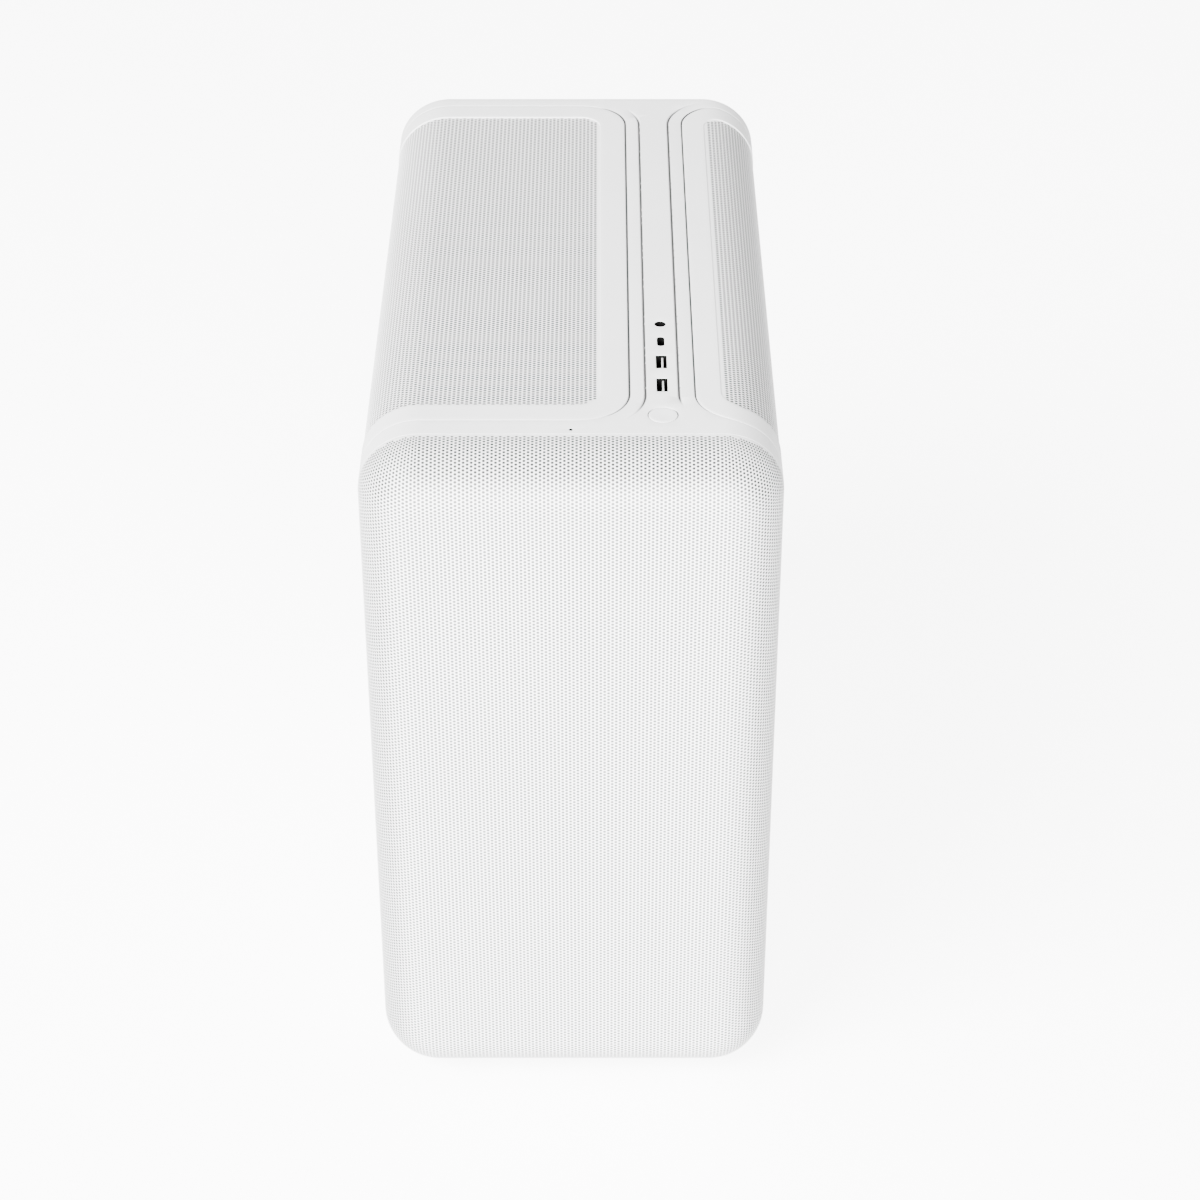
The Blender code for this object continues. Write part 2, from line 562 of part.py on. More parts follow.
def build_fan_frame(name, centre, axis, side, depth):
    """A square frame with a round bore and four spokes that hold the motor plate at its far side."""
    middle = Vector(centre)
    half = Vector([depth / 2 if k == axis else side / 2 for k in range(3)])
    frame = rounded_box(name + "_frame", middle - half, middle + half, axis, 5 * MM, BLACK_PLASTIC)
    cut(frame, rod(name + "_bore", middle, axis, fan_bore(side), 2 * depth, sides=32))
    plate = middle.copy()
    plate[axis] += (depth - FRAME_PLATE) / 2
    hub = HUB_SHARE * side
    join(frame, rod(name + "_motor_plate", plate, axis, hub, FRAME_PLATE, sides=16))
    spokes = [spoke_mesh(plate, axis, math.radians(45 + 90 * index), hub - MM, fan_bore(side) + MM, 4 * MM,
                         FRAME_PLATE) for index in range(4)]
    join(frame, tools_in_one(name + "_spokes", spokes))


def build_rotor(name, centre, axis, side, depth):
    """A hub with pitched blades, with its origin on the axis."""
    middle = Vector(centre)
    middle[axis] -= FRAME_PLATE / 2
    length = depth - FRAME_PLATE - 2 * FAN_CLEARANCE
    hub = HUB_SHARE * side
    rotor = rod(name + "_rotor", middle, axis, hub, length, BLACK_PLASTIC, 20)
    blades = [spoke_mesh(middle, axis, 2 * math.pi * index / BLADE_COUNT, 0.8 * hub,
                         fan_bore(side) - FAN_CLEARANCE, 1.6 * MM, 0.85 * length, BLADE_PITCH)
              for index in range(BLADE_COUNT)]
    join(rotor, tools_in_one(name + "_blades", blades))
    set_origin(rotor, middle)


def build_fan(name, centre, axis, side, depth):
    """A framed fan: the square frame and the rotor that turns in it."""
    build_fan_frame(name, centre, axis, side, depth)
    build_rotor(name, centre, axis, side, depth)


def build_case_fans():
    """Two intake fans behind the front cover and one exhaust fan on the rear wall."""
    side, depth = FRONT_FAN
    y = RAIL_Y + STEEL + depth / 2 + MM
    middle_z = (CHASSIS_BOTTOM + CHASSIS_TOP) / 2
    for word, step in (("lower", -1), ("upper", 1)):
        build_fan("front_fan_" + word, (0, y, middle_z + step * (side / 2 + MM)), 1, side, depth)
    side, depth = REAR_FAN
    y = CHASSIS_REAR - depth / 2 - GAP
    build_fan("rear_fan", (REAR_FAN_CENTRE[0], y, REAR_FAN_CENTRE[1]), 1, side, depth)


# ---- Electronics ------------------------------------------------------------------------------------------
def build_motherboard():
    """The main board on its tray, with two memory sticks and a storage drive."""
    box("motherboard", (BOARD_X, BOARD_REAR - BOARD_SIDE, BOARD_BOTTOM),
        (BOARD_X + BOARD_SHEET, BOARD_REAR, BOARD_BOTTOM + BOARD_SIDE), BOARD_GREEN)
    face = BOARD_X - GAP
    for index in range(2):
        y = 2 * MM + index * 10 * MM
        box("memory_stick_%d" % (index + 1), (face - 38 * MM, y, 226 * MM), (face, y + 5 * MM, 359 * MM),
            BLACK_PLASTIC)
    box("storage_drive", (face - 4 * MM, 60 * MM, 212 * MM), (face, 140 * MM, 234 * MM), BLACK_PLASTIC)


def build_cooler():
    """A tower cooler: a neck on the board and a finned block, with a fan on its front."""
    block = box("cpu_cooler", COOLER_LOW, COOLER_HIGH, ALUMINIUM)
    pitch = (COOLER_HIGH[0] - COOLER_LOW[0]) / (FIN_SLOTS + 1)
    slot_depth = 36 * MM
    slots = []
    for index in range(FIN_SLOTS):
        x = COOLER_LOW[0] + (index + 1) * pitch
        for low_z, high_z in ((COOLER_LOW[2] - MM, COOLER_LOW[2] + slot_depth),
                              (COOLER_HIGH[2] - slot_depth, COOLER_HIGH[2] + MM)):
            slots.append(box_mesh((x - 0.38 * pitch, COOLER_LOW[1] - MM, low_z),
                                  (x + 0.38 * pitch, COOLER_HIGH[1] + MM, high_z)))
    cut(block, tools_in_one("fin_slots", slots))
    middle = [(low + high) / 2 for low, high in zip(COOLER_LOW, COOLER_HIGH)]
    neck_half = 16 * MM
    join(block, box("cooler_neck", (COOLER_HIGH[0] - MM, middle[1] - neck_half, middle[2] - neck_half),
                    (BOARD_X - GAP, middle[1] + neck_half, middle[2] + neck_half)))
    side, depth = CPU_FAN
    build_fan("cpu_fan", (middle[0], COOLER_LOW[1] - depth / 2 - GAP, middle[2]), 1, side, depth)


def build_rear_sockets():
    """The socket plate in the rear wall and the stack of sockets behind it."""
    plate = box("rear_port_plate", (PORTS_X[0] + GAP, REAR_WALL_Y, PORTS_Z[0] + GAP),
                (PORTS_X[1] - GAP, REAR_WALL_Y + STEEL, PORTS_Z[1] - GAP), PLATED)
    stack = box("rear_port_stack", (BOARD_X - 22 * MM, BOARD_REAR - 18 * MM, PORTS_Z[0] + 8 * MM),
                (BOARD_X - GAP, REAR_WALL_Y - GAP, PORTS_Z[1] - 8 * MM), DARK_STEEL)
    room = 12 * MM
    pitch = (PORTS_Z[1] - PORTS_Z[0] - 2 * room) / PORT_COUNT
    low_x = BOARD_X - 19 * MM
    windows = []
    hollows = []
    for index in range(PORT_COUNT):
        z = PORTS_Z[0] + room + (index + 0.5) * pitch
        high = (low_x + PORT_MOUTH[0], REAR_WALL_Y + 5 * MM, z + PORT_MOUTH[1] / 2)
        hollows.append(box_mesh((low_x, BOARD_REAR - 8 * MM, z - PORT_MOUTH[1] / 2), high))
        windows.append(box_mesh((low_x, REAR_WALL_Y - 5 * MM, z - PORT_MOUTH[1] / 2), high))
    cut(plate, tools_in_one("port_windows", windows))
    cut(stack, tools_in_one("port_hollows", hollows))


def slot_plate(name, first, count, material):
    """A steel bracket that closes one or more expansion slots in the rear wall."""
    low_z, high_z = slot_range(first, count)
    return box(name, (SLOT_X[0] + GAP, REAR_WALL_Y - STEEL, low_z),
               (SLOT_X[1] - GAP, REAR_WALL_Y, high_z), material)


def build_graphics_card():
    """The graphics card: bracket, board, and a shroud with two open-faced fans under it."""
    low_z, high_z = slot_range(0, 2)
    slot_plate("graphics_bracket", 0, 2, PLATED)
    board_z = high_z - 4 * MM
    front = BRACKET_Y - CARD_LENGTH
    box("graphics_board", (CARD_EDGE, front, board_z),
        (BOARD_X - CARD_LIFT, BRACKET_Y, board_z + BOARD_SHEET), BOARD_GREEN)
    shroud_edge = BOARD_X - CARD_LIFT - 3 * MM
    shroud = box("graphics_shroud", (CARD_EDGE, front, low_z), (shroud_edge, BRACKET_Y - MM, board_z - GAP),
                 BLACK_PLASTIC)
    side, depth = CARD_FAN
    middle_x = (CARD_EDGE + shroud_edge) / 2
    middle_y = front + CARD_LENGTH / 2
    wells = []
    for word, step in (("front", -CARD_FAN_STEP), ("rear", CARD_FAN_STEP)):
        wells.append(round_mesh((middle_x, middle_y + step, low_z), 2, side / 2 - 1.5 * MM, 2 * depth, 32))
        build_rotor("graphics_fan_" + word, (middle_x, middle_y + step, low_z + (depth + FRAME_PLATE) / 2), 2,
                    side - 3 * MM, depth)
    cut(shroud, tools_in_one("graphics_wells", wells))


def build_radio_card():
    """The radio card on its bracket, with two threaded aerial sockets, and the blank cover above it."""
    slot_plate("slot_cover", 2, 1, GALVANISED)
    radio = slot_plate("radio_card", 3, 1, PLATED)
    low_z, high_z = slot_range(3)
    middle_z = (low_z + high_z) / 2
    board = box("radio_board", (BOARD_X - 55 * MM, BRACKET_Y - 60 * MM, middle_z),
                (BOARD_X - CARD_LIFT, BRACKET_Y + 0.5 * MM, middle_z + BOARD_SHEET))
    shield = box("radio_shield", (BOARD_X - 48 * MM, BRACKET_Y - 50 * MM, middle_z + MM),
                 (BOARD_X - 18 * MM, BRACKET_Y - 20 * MM, middle_z + 4 * MM))
    join(radio, board, shield)
    socket_z = middle_z + 4.6 * MM
    base = REAR_WALL_Y + GAP
    length = REAR_Y - base - 0.5 * MM
    for word, x in (("left", 18 * MM), ("right", 44 * MM)):
        barrel = rod("aerial_socket_" + word, (x, base + length / 2, socket_z), 1, 3.1 * MM, length, BRASS,
                     16)
        nut = rod("aerial_nut_" + word, (x, base + MM, socket_z), 1, 4.4 * MM, 1.9 * MM, sides=6)
        bore = rod("aerial_bore_" + word, (x, REAR_Y, socket_z), 1, 1.2 * MM, 6 * MM, sides=10)
        cut(join(barrel, nut), bore)


def build_power_supply():
    """The supply's steel box with a fan in its floor, a mains inlet and a rocker switch behind."""
    supply = box("power_supply", SUPPLY_LOW, SUPPLY_HIGH, DARK_STEEL)
    hollow = box("supply_hollow", [low + STEEL for low in SUPPLY_LOW], [high - STEEL for high in SUPPLY_HIGH])
    well = rod("supply_well", (VENT_X, VENT_Y, SUPPLY_LOW[2]), 2, SUPPLY_FAN_RADIUS + MM, 10 * MM, sides=32)
    room = box("inlet_room", [low - GAP for low in INLET_LOW],
               (INLET_HIGH[0] + GAP, INLET_HIGH[1] + MM, INLET_HIGH[2] + GAP))
    switch_room = box("switch_room", (SWITCH_X - 6 * MM, SUPPLY_HIGH[1] - 2 * MM, SWITCH_Z - 9 * MM),
                      (SWITCH_X + 6 * MM, SUPPLY_HIGH[1] + MM, SWITCH_Z + 9 * MM))
    cut(supply, hollow, well, room, switch_room)
    build_rotor("supply_fan", (VENT_X, VENT_Y, SUPPLY_LOW[2] + 14.5 * MM), 2, 2 * SUPPLY_FAN_RADIUS, 22 * MM)

    inlet = box("mains_inlet", INLET_LOW, INLET_HIGH, BLACK_PLASTIC)
    wall = 3 * MM
    mouth = box("inlet_mouth", [low + wall for low in INLET_LOW],
                (INLET_HIGH[0] - wall, INLET_HIGH[1] + MM, INLET_HIGH[2] - wall))
    middle_x = (INLET_LOW[0] + INLET_HIGH[0]) / 2
    middle_z = (INLET_LOW[2] + INLET_HIGH[2]) / 2
    blades = [box_mesh((middle_x + dx - MM, INLET_LOW[1] + 2 * MM, middle_z + dz - 2 * MM),
                       (middle_x + dx + MM, INLET_HIGH[1] - 6 * MM, middle_z + dz + 2 * MM))
              for dx, dz in ((-7 * MM, -2 * MM), (0.0, 2 * MM), (7 * MM, -2 * MM))]
    join(cut(inlet, mouth), tools_in_one("inlet_blades", blades))

    rocker = box("rocker_switch", (-5.5 * MM, -MM, -8 * MM), (5.5 * MM, 5.5 * MM, 8 * MM), BLACK_PLASTIC)
    rocker.data.transform(Matrix.Rotation(ROCKER_TILT, 4, "X"))
    rocker.location = (SWITCH_X, SUPPLY_HIGH[1] - 6 * MM, SWITCH_Z)


def smooth_route(corners, steps):
    """Points on a Catmull-Rom curve through the corners."""
    route = []
    for index in range(len(corners) - 1):
        before = corners[max(index - 1, 0)]
        start, end = corners[index], corners[index + 1]
        after = corners[min(index + 2, len(corners) - 1)]
        for step in range(steps):
            t = step / steps
            bend = (2 * before - 5 * start + 4 * end - after) * t ** 2
            twist = (3 * start - before - 3 * end + after) * t ** 3
            route.append(0.5 * (2 * start + (end - before) * t + bend + twist))
    return route + [corners[-1]]


def build_power_loom():
    """The sleeved loom that runs from the supply's front up to the main board, with its plug."""
    plug_low = Vector((BOARD_X - 16 * MM, BOARD_REAR - BOARD_SIDE + 4 * MM, 262 * MM))
    plug_high = Vector((BOARD_X - GAP, plug_low.y + 10 * MM, plug_low.z + 52 * MM))
    end = Vector((plug_low.x + MM, (plug_low.y + plug_high.y) / 2, (plug_low.z + plug_high.z) / 2))
    start_y = SUPPLY_LOW[1] - GAP
    corners = [Vector((40 * MM, start_y, 60 * MM)), Vector((40 * MM, start_y - 25 * MM, 62 * MM)),
               Vector((42 * MM, -10 * MM, 84 * MM)), Vector((44 * MM, -32 * MM, 140 * MM)),
               Vector((40 * MM, -40 * MM, 220 * MM)), Vector((44 * MM, end.y, end.z - 14 * MM)), end]
    curve = bpy.data.curves.new("main_power_loom", "CURVE")
    curve.dimensions = "3D"
    curve.bevel_depth = LOOM_RADIUS
    curve.bevel_resolution = 2
    curve.use_fill_caps = True
    spline = curve.splines.new("POLY")
    route = smooth_route(corners, 5)
    spline.points.add(len(route) - 1)
    for point, place_at in zip(spline.points, route):
        point.co = (*place_at, 1.0)
    sleeve = bpy.data.objects.new("main_power_sleeve", curve)
    PARTS.objects.link(sleeve)
    bpy.context.view_layer.update()
    mesh = bpy.data.meshes.new_from_object(sleeve.evaluated_get(bpy.context.evaluated_depsgraph_get()))
    bm = bmesh.new()
    bm.from_mesh(mesh)
    bmesh.ops.remove_doubles(bm, verts=bm.verts, dist=0.0001 * MM)
    bpy.data.objects.remove(sleeve, do_unlink=True)
    bpy.data.meshes.remove(mesh)
    loom = place(bm, "main_power_loom", BLACK_PLASTIC)
    join(loom, box("loom_plug", plug_low, plug_high))


build_outer_frame()
build_side_panels()
build_front_cover()
build_chassis()
build_base_pieces()
build_top_controls()
build_case_fans()
build_motherboard()
build_cooler()
build_rear_sockets()
build_graphics_card()
build_radio_card()
build_power_supply()
build_power_loom()
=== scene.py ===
# %% [markdown]
# # A compact white tower computer
# The case is a rounded box of white plastic. A domed perforated cover closes its front, and an L-shaped
# panel with a perforated insert wraps over each side. The working parts are inside.
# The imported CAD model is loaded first, because every piece here sits on one of its bodies.

# %% Load the frame
import json
import math

import bmesh
import bpy
import numpy as np
from mathutils import Matrix, Vector
from mathutils.geometry import delaunay_2d_cdt


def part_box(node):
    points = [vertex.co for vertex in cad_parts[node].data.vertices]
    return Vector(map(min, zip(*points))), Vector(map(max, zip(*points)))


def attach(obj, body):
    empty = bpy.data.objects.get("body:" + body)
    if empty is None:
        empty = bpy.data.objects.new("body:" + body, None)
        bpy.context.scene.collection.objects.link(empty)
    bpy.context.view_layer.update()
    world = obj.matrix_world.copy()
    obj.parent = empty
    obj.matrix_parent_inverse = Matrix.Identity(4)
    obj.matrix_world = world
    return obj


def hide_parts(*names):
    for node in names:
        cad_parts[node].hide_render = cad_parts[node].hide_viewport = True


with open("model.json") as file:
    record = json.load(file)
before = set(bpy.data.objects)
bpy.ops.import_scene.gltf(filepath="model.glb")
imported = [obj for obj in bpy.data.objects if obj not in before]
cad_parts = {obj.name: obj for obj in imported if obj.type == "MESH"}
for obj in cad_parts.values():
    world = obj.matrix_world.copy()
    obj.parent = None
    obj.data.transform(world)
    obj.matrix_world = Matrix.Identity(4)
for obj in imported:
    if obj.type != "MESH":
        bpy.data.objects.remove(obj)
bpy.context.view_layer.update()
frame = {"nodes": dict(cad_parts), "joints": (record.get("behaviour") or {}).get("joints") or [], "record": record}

# %% [markdown]
# ## The sizes that drive the shell
# The levels are read from the boxes of the CAD nodes, so that a new CAD model moves everything along. Only the
# two radii of the case are repeated.

# %% Levels of the shell
MM = 0.001
CORNER = 30 * MM
FILLET = 28 * MM
WALL = 2.5 * MM

(_, FRONT, BOTTOM), (HALF_WIDTH, COVER_RIM, TOP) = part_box("front_mesh")
FRAME_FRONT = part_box("front_ring")[0][1]
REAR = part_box("rear_ring")[1][1]
PANEL_FRONT, PANEL_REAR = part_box("left_side_panel")[0][1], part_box("left_side_panel")[1][1]
LEFT_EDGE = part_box("left_side_panel")[1][0]
RIGHT_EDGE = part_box("right_side_panel")[0][0]
PANEL_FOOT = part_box("left_side_panel")[0][2]
STRIP_X = (LEFT_EDGE + RIGHT_EDGE) / 2
print("case %.0f x %.0f x %.0f mm" % (2 * HALF_WIDTH / MM, (REAR - FRONT) / MM, (TOP - BOTTOM) / MM))

# %% [markdown]
# ## Wrapping a flat drawing round the case
# The frame, the panels and the perforated inserts all lie on one skin: the case's rounded section, drawn
# out along its depth. A point of the skin is given by two lengths, as on a paper pattern. The first, u, is
# measured round the section from the middle of the top, to the right if positive. The second is y. This
# keeps outlines and hole patterns true to size where they run over a rounded edge, which a flat projection
# would stretch.

# %% The skin of the case
FLAT = HALF_WIDTH - CORNER
ARC = CORNER * math.pi / 2
SIDE = TOP - BOTTOM - 2 * CORNER
HALF_ROUND = 2 * FLAT + 2 * ARC + SIDE


def skin(u, y, depth=0.0):
    """Points that lie depth under the case's skin, for arrays of pattern lengths u and y."""
    u = np.asarray(u, dtype=float)
    u = np.mod(u + HALF_ROUND, 2 * HALF_ROUND) - HALF_ROUND
    run = np.abs(u)
    turn = np.clip(run - FLAT, 0, ARC) / CORNER + np.clip(run - FLAT - ARC - SIDE, 0, ARC) / CORNER
    centre_x = np.minimum(run, FLAT) - np.maximum(run - FLAT - 2 * ARC - SIDE, 0)
    centre_z = TOP - CORNER - np.clip(run - FLAT - ARC, 0, SIDE)
    radius = CORNER - depth
    x = np.sign(u) * (centre_x + radius * np.sin(turn))
    return np.stack([x, y + 0 * x, centre_z + radius * np.cos(turn)], axis=-1)


def length_at(z):
    """Pattern length from the middle of the top down one side to a height."""
    return FLAT + ARC + (TOP - CORNER - z)


print("half way round the section: %.1f mm" % (HALF_ROUND / MM))

# %% [markdown]
# ## Outlines as loops of points
# Panels, inserts and sockets are all rounded rectangles. One helper walks round such an outline and also
# gives the direction that points away from it, so that an edge can be rounded over by a row of loops.

# %% Rounded outlines
def outline(low, high, radius, runs=(1, 1), corner_steps=10):
    """Points and outward directions, anticlockwise, round a rectangle with rounded corners.

    runs says how many pieces the straights along the first and the second length are cut into.
    """
    points = []
    outward = []
    centres = ((high[0] - radius, high[1] - radius), (low[0] + radius, high[1] - radius),
               (low[0] + radius, low[1] + radius), (high[0] - radius, low[1] + radius))
    for quarter, centre in enumerate(centres):
        following = centres[(quarter + 1) % 4]
        for step in range(corner_steps + 1):
            angle = math.pi / 2 * (quarter + step / corner_steps)
            away = np.array((math.cos(angle), math.sin(angle)))
            points.append(np.array(centre) + radius * away)
            outward.append(away)
        start = points[-1]
        end = np.array(following) + radius * outward[-1]
        pieces = runs[quarter % 2]
        for step in range(1, pieces):
            points.append(start + (end - start) * step / pieces)
            outward.append(outward[-1])
    return np.array(points), np.array(outward)


def distance_inside(points, low, high, radius):
    """Distance from a rounded rectangle's outline, positive inside it."""
    middle = (np.array(low) + np.array(high)) / 2
    reach = np.abs(points - middle) - (np.array(high) - middle - radius)
    beyond = np.maximum(reach, 0)
    return radius - np.hypot(beyond[:, 0], beyond[:, 1]) - np.minimum(reach.max(axis=1), 0)


# %% [markdown]
# ## Filling an outline with triangles
# A constrained Delaunay triangulation fills the space between loops and leaves the holes open. It works on
# the flat pattern, where it is quick and safe, and the result is wrapped round the case afterwards.

# %% Triangles between loops
def sides_of(face):
    """The three sides of a triangle, each without a direction."""
    return [frozenset((face[k - 1], face[k])) for k in (1, 2, 0)]


def fill_between(points, border, edges):
    """Triangles, anticlockwise, between a closed border of points and the fixed edges inside it.

    The triangulation also fills the holes. So the wanted triangles are found by spreading from the border
    to neighbour after neighbour, and never across a fixed edge.
    """
    ring = [(int(border[k - 1]), int(border[k])) for k in range(len(border))]
    result = delaunay_2d_cdt([Vector(p) for p in points / MM], ring + edges, [], 1, 1e-5)
    first = [sources[0] for sources in result[3]]
    triangles = [[first[corner] for corner in face] for face in result[2]]
    walls = {frozenset(edge) for edge in ring + edges}
    beside = {}
    for index, face in enumerate(triangles):
        for side in sides_of(face):
            beside.setdefault(side, []).append(index)
    waiting = [index for edge in ring for index in beside.get(frozenset(edge), [])]
    found = set(waiting)
    while waiting:
        for side in sides_of(triangles[waiting.pop()]):
            if side not in walls:
                fresh = [index for index in beside[side] if index not in found]
                found.update(fresh)
                waiting.extend(fresh)
    return [triangles[index] for index in sorted(found)]


def loop_edges(loops):
    """The edges along closed loops of point indices."""
    return [(int(loop[k - 1]), int(loop[k])) for loop in loops for k in range(len(loop))]


def ring_faces(first, second):
    """Quads between two loops with the same number of points."""
    return [(first[k - 1], first[k], second[k], second[k - 1]) for k in range(len(first))]


def joined_loops(count, loops, closed=True):
    """Quads that join loops of count points, each to the next, and the last to the first if closed."""
    faces = []
    for index in range(loops if closed else loops - 1):
        following = (index + 1) % loops
        faces += ring_faces(index * count + np.arange(count), following * count + np.arange(count))
    return faces


def link_object(name, data):
    """A new object in the scene."""
    thing = bpy.data.objects.new(name, data)
    bpy.context.scene.collection.objects.link(thing)
    return thing


def make_piece(name, points, faces, crease=35):
    """A mesh object with smooth faces, kept sharp where it turns by more than crease degrees."""
    mesh = bpy.data.meshes.new(name)
    mesh.from_pydata([tuple(p) for p in points], [], [tuple(f) for f in faces])
    mesh.update()
    mesh.shade_smooth()
    mesh.set_sharp_from_angle(angle=math.radians(crease))
    return link_object(name, mesh)


def add_values(piece, name, values):
    """Stores one number for each point of a piece, which a finish can read."""
    attribute = piece.data.attributes.new(name, "FLOAT", "POINT")
    attribute.data.foreach_set("value", np.asarray(values, dtype=np.float32))


def face_outwards(piece, weld=0.0):
    """Turns a closed piece's faces outwards, after joining points closer than weld, and counts open edges."""
    bm = bmesh.new()
    bm.from_mesh(piece.data)
    if weld:
        bmesh.ops.remove_doubles(bm, verts=bm.verts, dist=weld)
    bmesh.ops.recalc_face_normals(bm, faces=bm.faces)
    open_edges = sum(1 for edge in bm.edges if len(edge.link_faces) != 2)
    bm.to_mesh(piece.data)
    bm.free()
    return open_edges


# %% [markdown]
# ## The perforated sheets
# On the real case these are thin moulded or pressed sheets with thousands of small holes, staggered from
# column to column. Cutting each hole through would cost millions of faces. Here each hole is a six-sided
# cell whose middle is pushed in, so it catches light and shade like a hole, and it takes six triangles.
# The cells are laid on the flat pattern, cut off at the outline, and joined to it by a filled band. A plain
# back closes the sheet.

# %% A sheet of staggered cells
def lattice(low, high, radius, pitch, margin):
    """Cells of a staggered hole pattern that lie inside a rounded rectangle.

    Gives the points, with the middles of the holes first, how many middles there are, the triangles,
    and the edges on the pattern's own rim.
    """
    columns, rows = [int((high[k] - low[k]) / pitch) + 4 for k in (0, 1)]
    start = [(low[k] + high[k]) / 2 - pitch * (count - 1) / 2 for k, count in ((0, columns), (1, rows))]
    i, j = np.meshgrid(np.arange(columns), np.arange(rows), indexing="ij")
    middles = np.stack([start[0] + i * pitch, start[1] + (j + 0.5 * (i % 2)) * pitch], axis=-1)
    rights = middles + np.array((pitch / 3, pitch / 2))
    lefts = middles + np.array((-pitch / 3, pitch / 2))
    grid = np.concatenate([part.reshape(-1, 2) for part in (middles, rights, lefts)])
    total = columns * rows
    here = i * rows + j
    level = j - 1 + i % 2
    cells = np.stack([total + here, 2 * total + here, total + (i - 1) * rows + level, 2 * total + here - 1,
                      total + here - 1, 2 * total + (i + 1) * rows + level], axis=-1)
    cells = cells[1:-1, 1:-1].reshape(-1, 6)
    hubs = here[1:-1, 1:-1].reshape(-1)
    inside = distance_inside(grid, low, high, radius) > margin
    kept = inside[cells].all(axis=1)
    cells, hubs = cells[kept], hubs[kept]
    following = np.roll(cells, -1, axis=1)
    fans = np.stack([np.repeat(hubs, 6), cells.ravel(), following.ravel()], axis=-1)
    lower, upper = np.minimum(cells, following).ravel(), np.maximum(cells, following).ravel()
    keys, counts = np.unique(lower.astype(np.int64) * len(grid) + upper, return_counts=True)
    rim = keys[counts == 1]
    used = np.unique(fans)
    number = np.full(len(grid), -1)
    number[used] = np.arange(len(used))
    rim = number[np.stack([rim // len(grid), rim % len(grid)], axis=-1)]
    return grid[used], len(hubs), number[fans], rim


def perforated_sheet(name, low, high, radius, pitch, lay, depth, sink, thickness, back_step):
    """A closed thin sheet with a staggered pattern of sunk holes.

    lay turns pattern points and a depth into places on the object.
    """
    cells, holes, fans, rim = lattice(low, high, radius, pitch, 0.45 * MM)
    runs = [max(1, int((high[k] - low[k] - 2 * radius) / (1.5 * MM))) for k in (0, 1)]
    border, _ = outline(low, high, radius, (runs[0], runs[1]), 24)
    rim_points, rim_edges = np.unique(rim, return_inverse=True)
    rim_edges = rim_edges.reshape(rim.shape)
    band_points = np.concatenate([border, cells[rim_points]])
    count = len(border)
    edges = [(count + int(a), count + int(b)) for a, b in rim_edges]
    renumber = np.concatenate([len(cells) + np.arange(count), rim_points])
    band = [[int(renumber[corner]) for corner in face]
            for face in fill_between(band_points, np.arange(count), edges)]

    inner = np.stack(np.meshgrid(np.arange(low[0], high[0], back_step), np.arange(low[1], high[1], 12 * MM),
                                 indexing="ij"), axis=-1).reshape(-1, 2)
    inner = inner[distance_inside(inner, low, high, radius) > 2 * MM]
    back_points = np.concatenate([border, inner])
    back = fill_between(back_points, np.arange(count), [])

    depths = np.full(len(cells), depth)
    depths[:holes] += sink
    front_row = lay(cells[:, 0], cells[:, 1], depths)
    border_row = lay(border[:, 0], border[:, 1], depth)
    back_row = lay(back_points[:, 0], back_points[:, 1], depth + thickness)
    base = len(cells) + count
    faces = fans.tolist() + band
    faces += [[base + corner for corner in reversed(face)] for face in back]
    faces += ring_faces(base + np.arange(count), len(cells) + np.arange(count))
    piece = make_piece(name, np.concatenate([front_row, border_row, back_row]), faces, 60)
    add_values(piece, "hole", np.arange(len(piece.data.vertices)) < holes)
    print(name, holes, "holes", len(faces), "faces")
    return piece


# %% [markdown]
# ## The front cover
# The cover is one domed sheet: a flat face whose rim rolls back over a large fillet, also round the four
# corners. Its pattern is unrolled about the flat face. A point beyond the face is carried round the fillet
# by its distance from it, so the columns of holes stay upright and run over the edge without a break.

# %% Domed cover
COVER_PITCH = 1.92 * MM
FACE_RADIUS = CORNER - FILLET
MIDDLE_Z = (TOP + BOTTOM) / 2
COVER_ROLL = FILLET * math.pi / 2 + (COVER_RIM - FRONT - FILLET)


def dome(a, b, depth):
    """Places on the front cover for pattern points a across and b up from its middle."""
    half_height = (TOP - BOTTOM) / 2 - CORNER
    core_a, core_b = np.clip(a, -FLAT, FLAT), np.clip(b, -half_height, half_height)
    away_a, away_b = a - core_a, b - core_b
    reach = np.hypot(away_a, away_b)
    scale = np.where(reach > 0, reach, 1)
    roll = np.maximum(reach - FACE_RADIUS, 0)
    turn = np.minimum(roll / FILLET, math.pi / 2)
    radius = np.minimum(reach, FACE_RADIUS) + (FILLET - depth) * np.sin(turn)
    y = FRONT + FILLET - (FILLET - depth) * np.cos(turn) + np.maximum(roll - FILLET * math.pi / 2, 0)
    x = core_a + radius * away_a / scale
    return np.stack([x, y, MIDDLE_Z + core_b + radius * away_b / scale], axis=-1)


cover_half = (FLAT + FACE_RADIUS + COVER_ROLL, (TOP - BOTTOM) / 2 - CORNER + FACE_RADIUS + COVER_ROLL)
front_cover = perforated_sheet("front_cover_sheet", (-cover_half[0], -cover_half[1]), cover_half,
                               FACE_RADIUS + COVER_ROLL, COVER_PITCH, dome, 0.0, 0.5 * MM, 1.9 * MM, 5 * MM)
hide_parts("front_mesh")
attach(front_cover, "front_cover")

# %% [markdown]
# ## The side inserts
# Each side panel holds a perforated insert that lies a little below the panel's face and runs from the top
# over the rounded edge down the side. The same sheet is laid on the skin of the case, with its columns
# running from front to back. Its rim slips under the lip of the panel, so no raw edge shows.

# %% Perforated inserts
INSERT_PITCH = 2.15 * MM
INSERT_DEPTH = 0.5 * MM
INSERT_CORNER = 12 * MM
LIP = 1 * MM


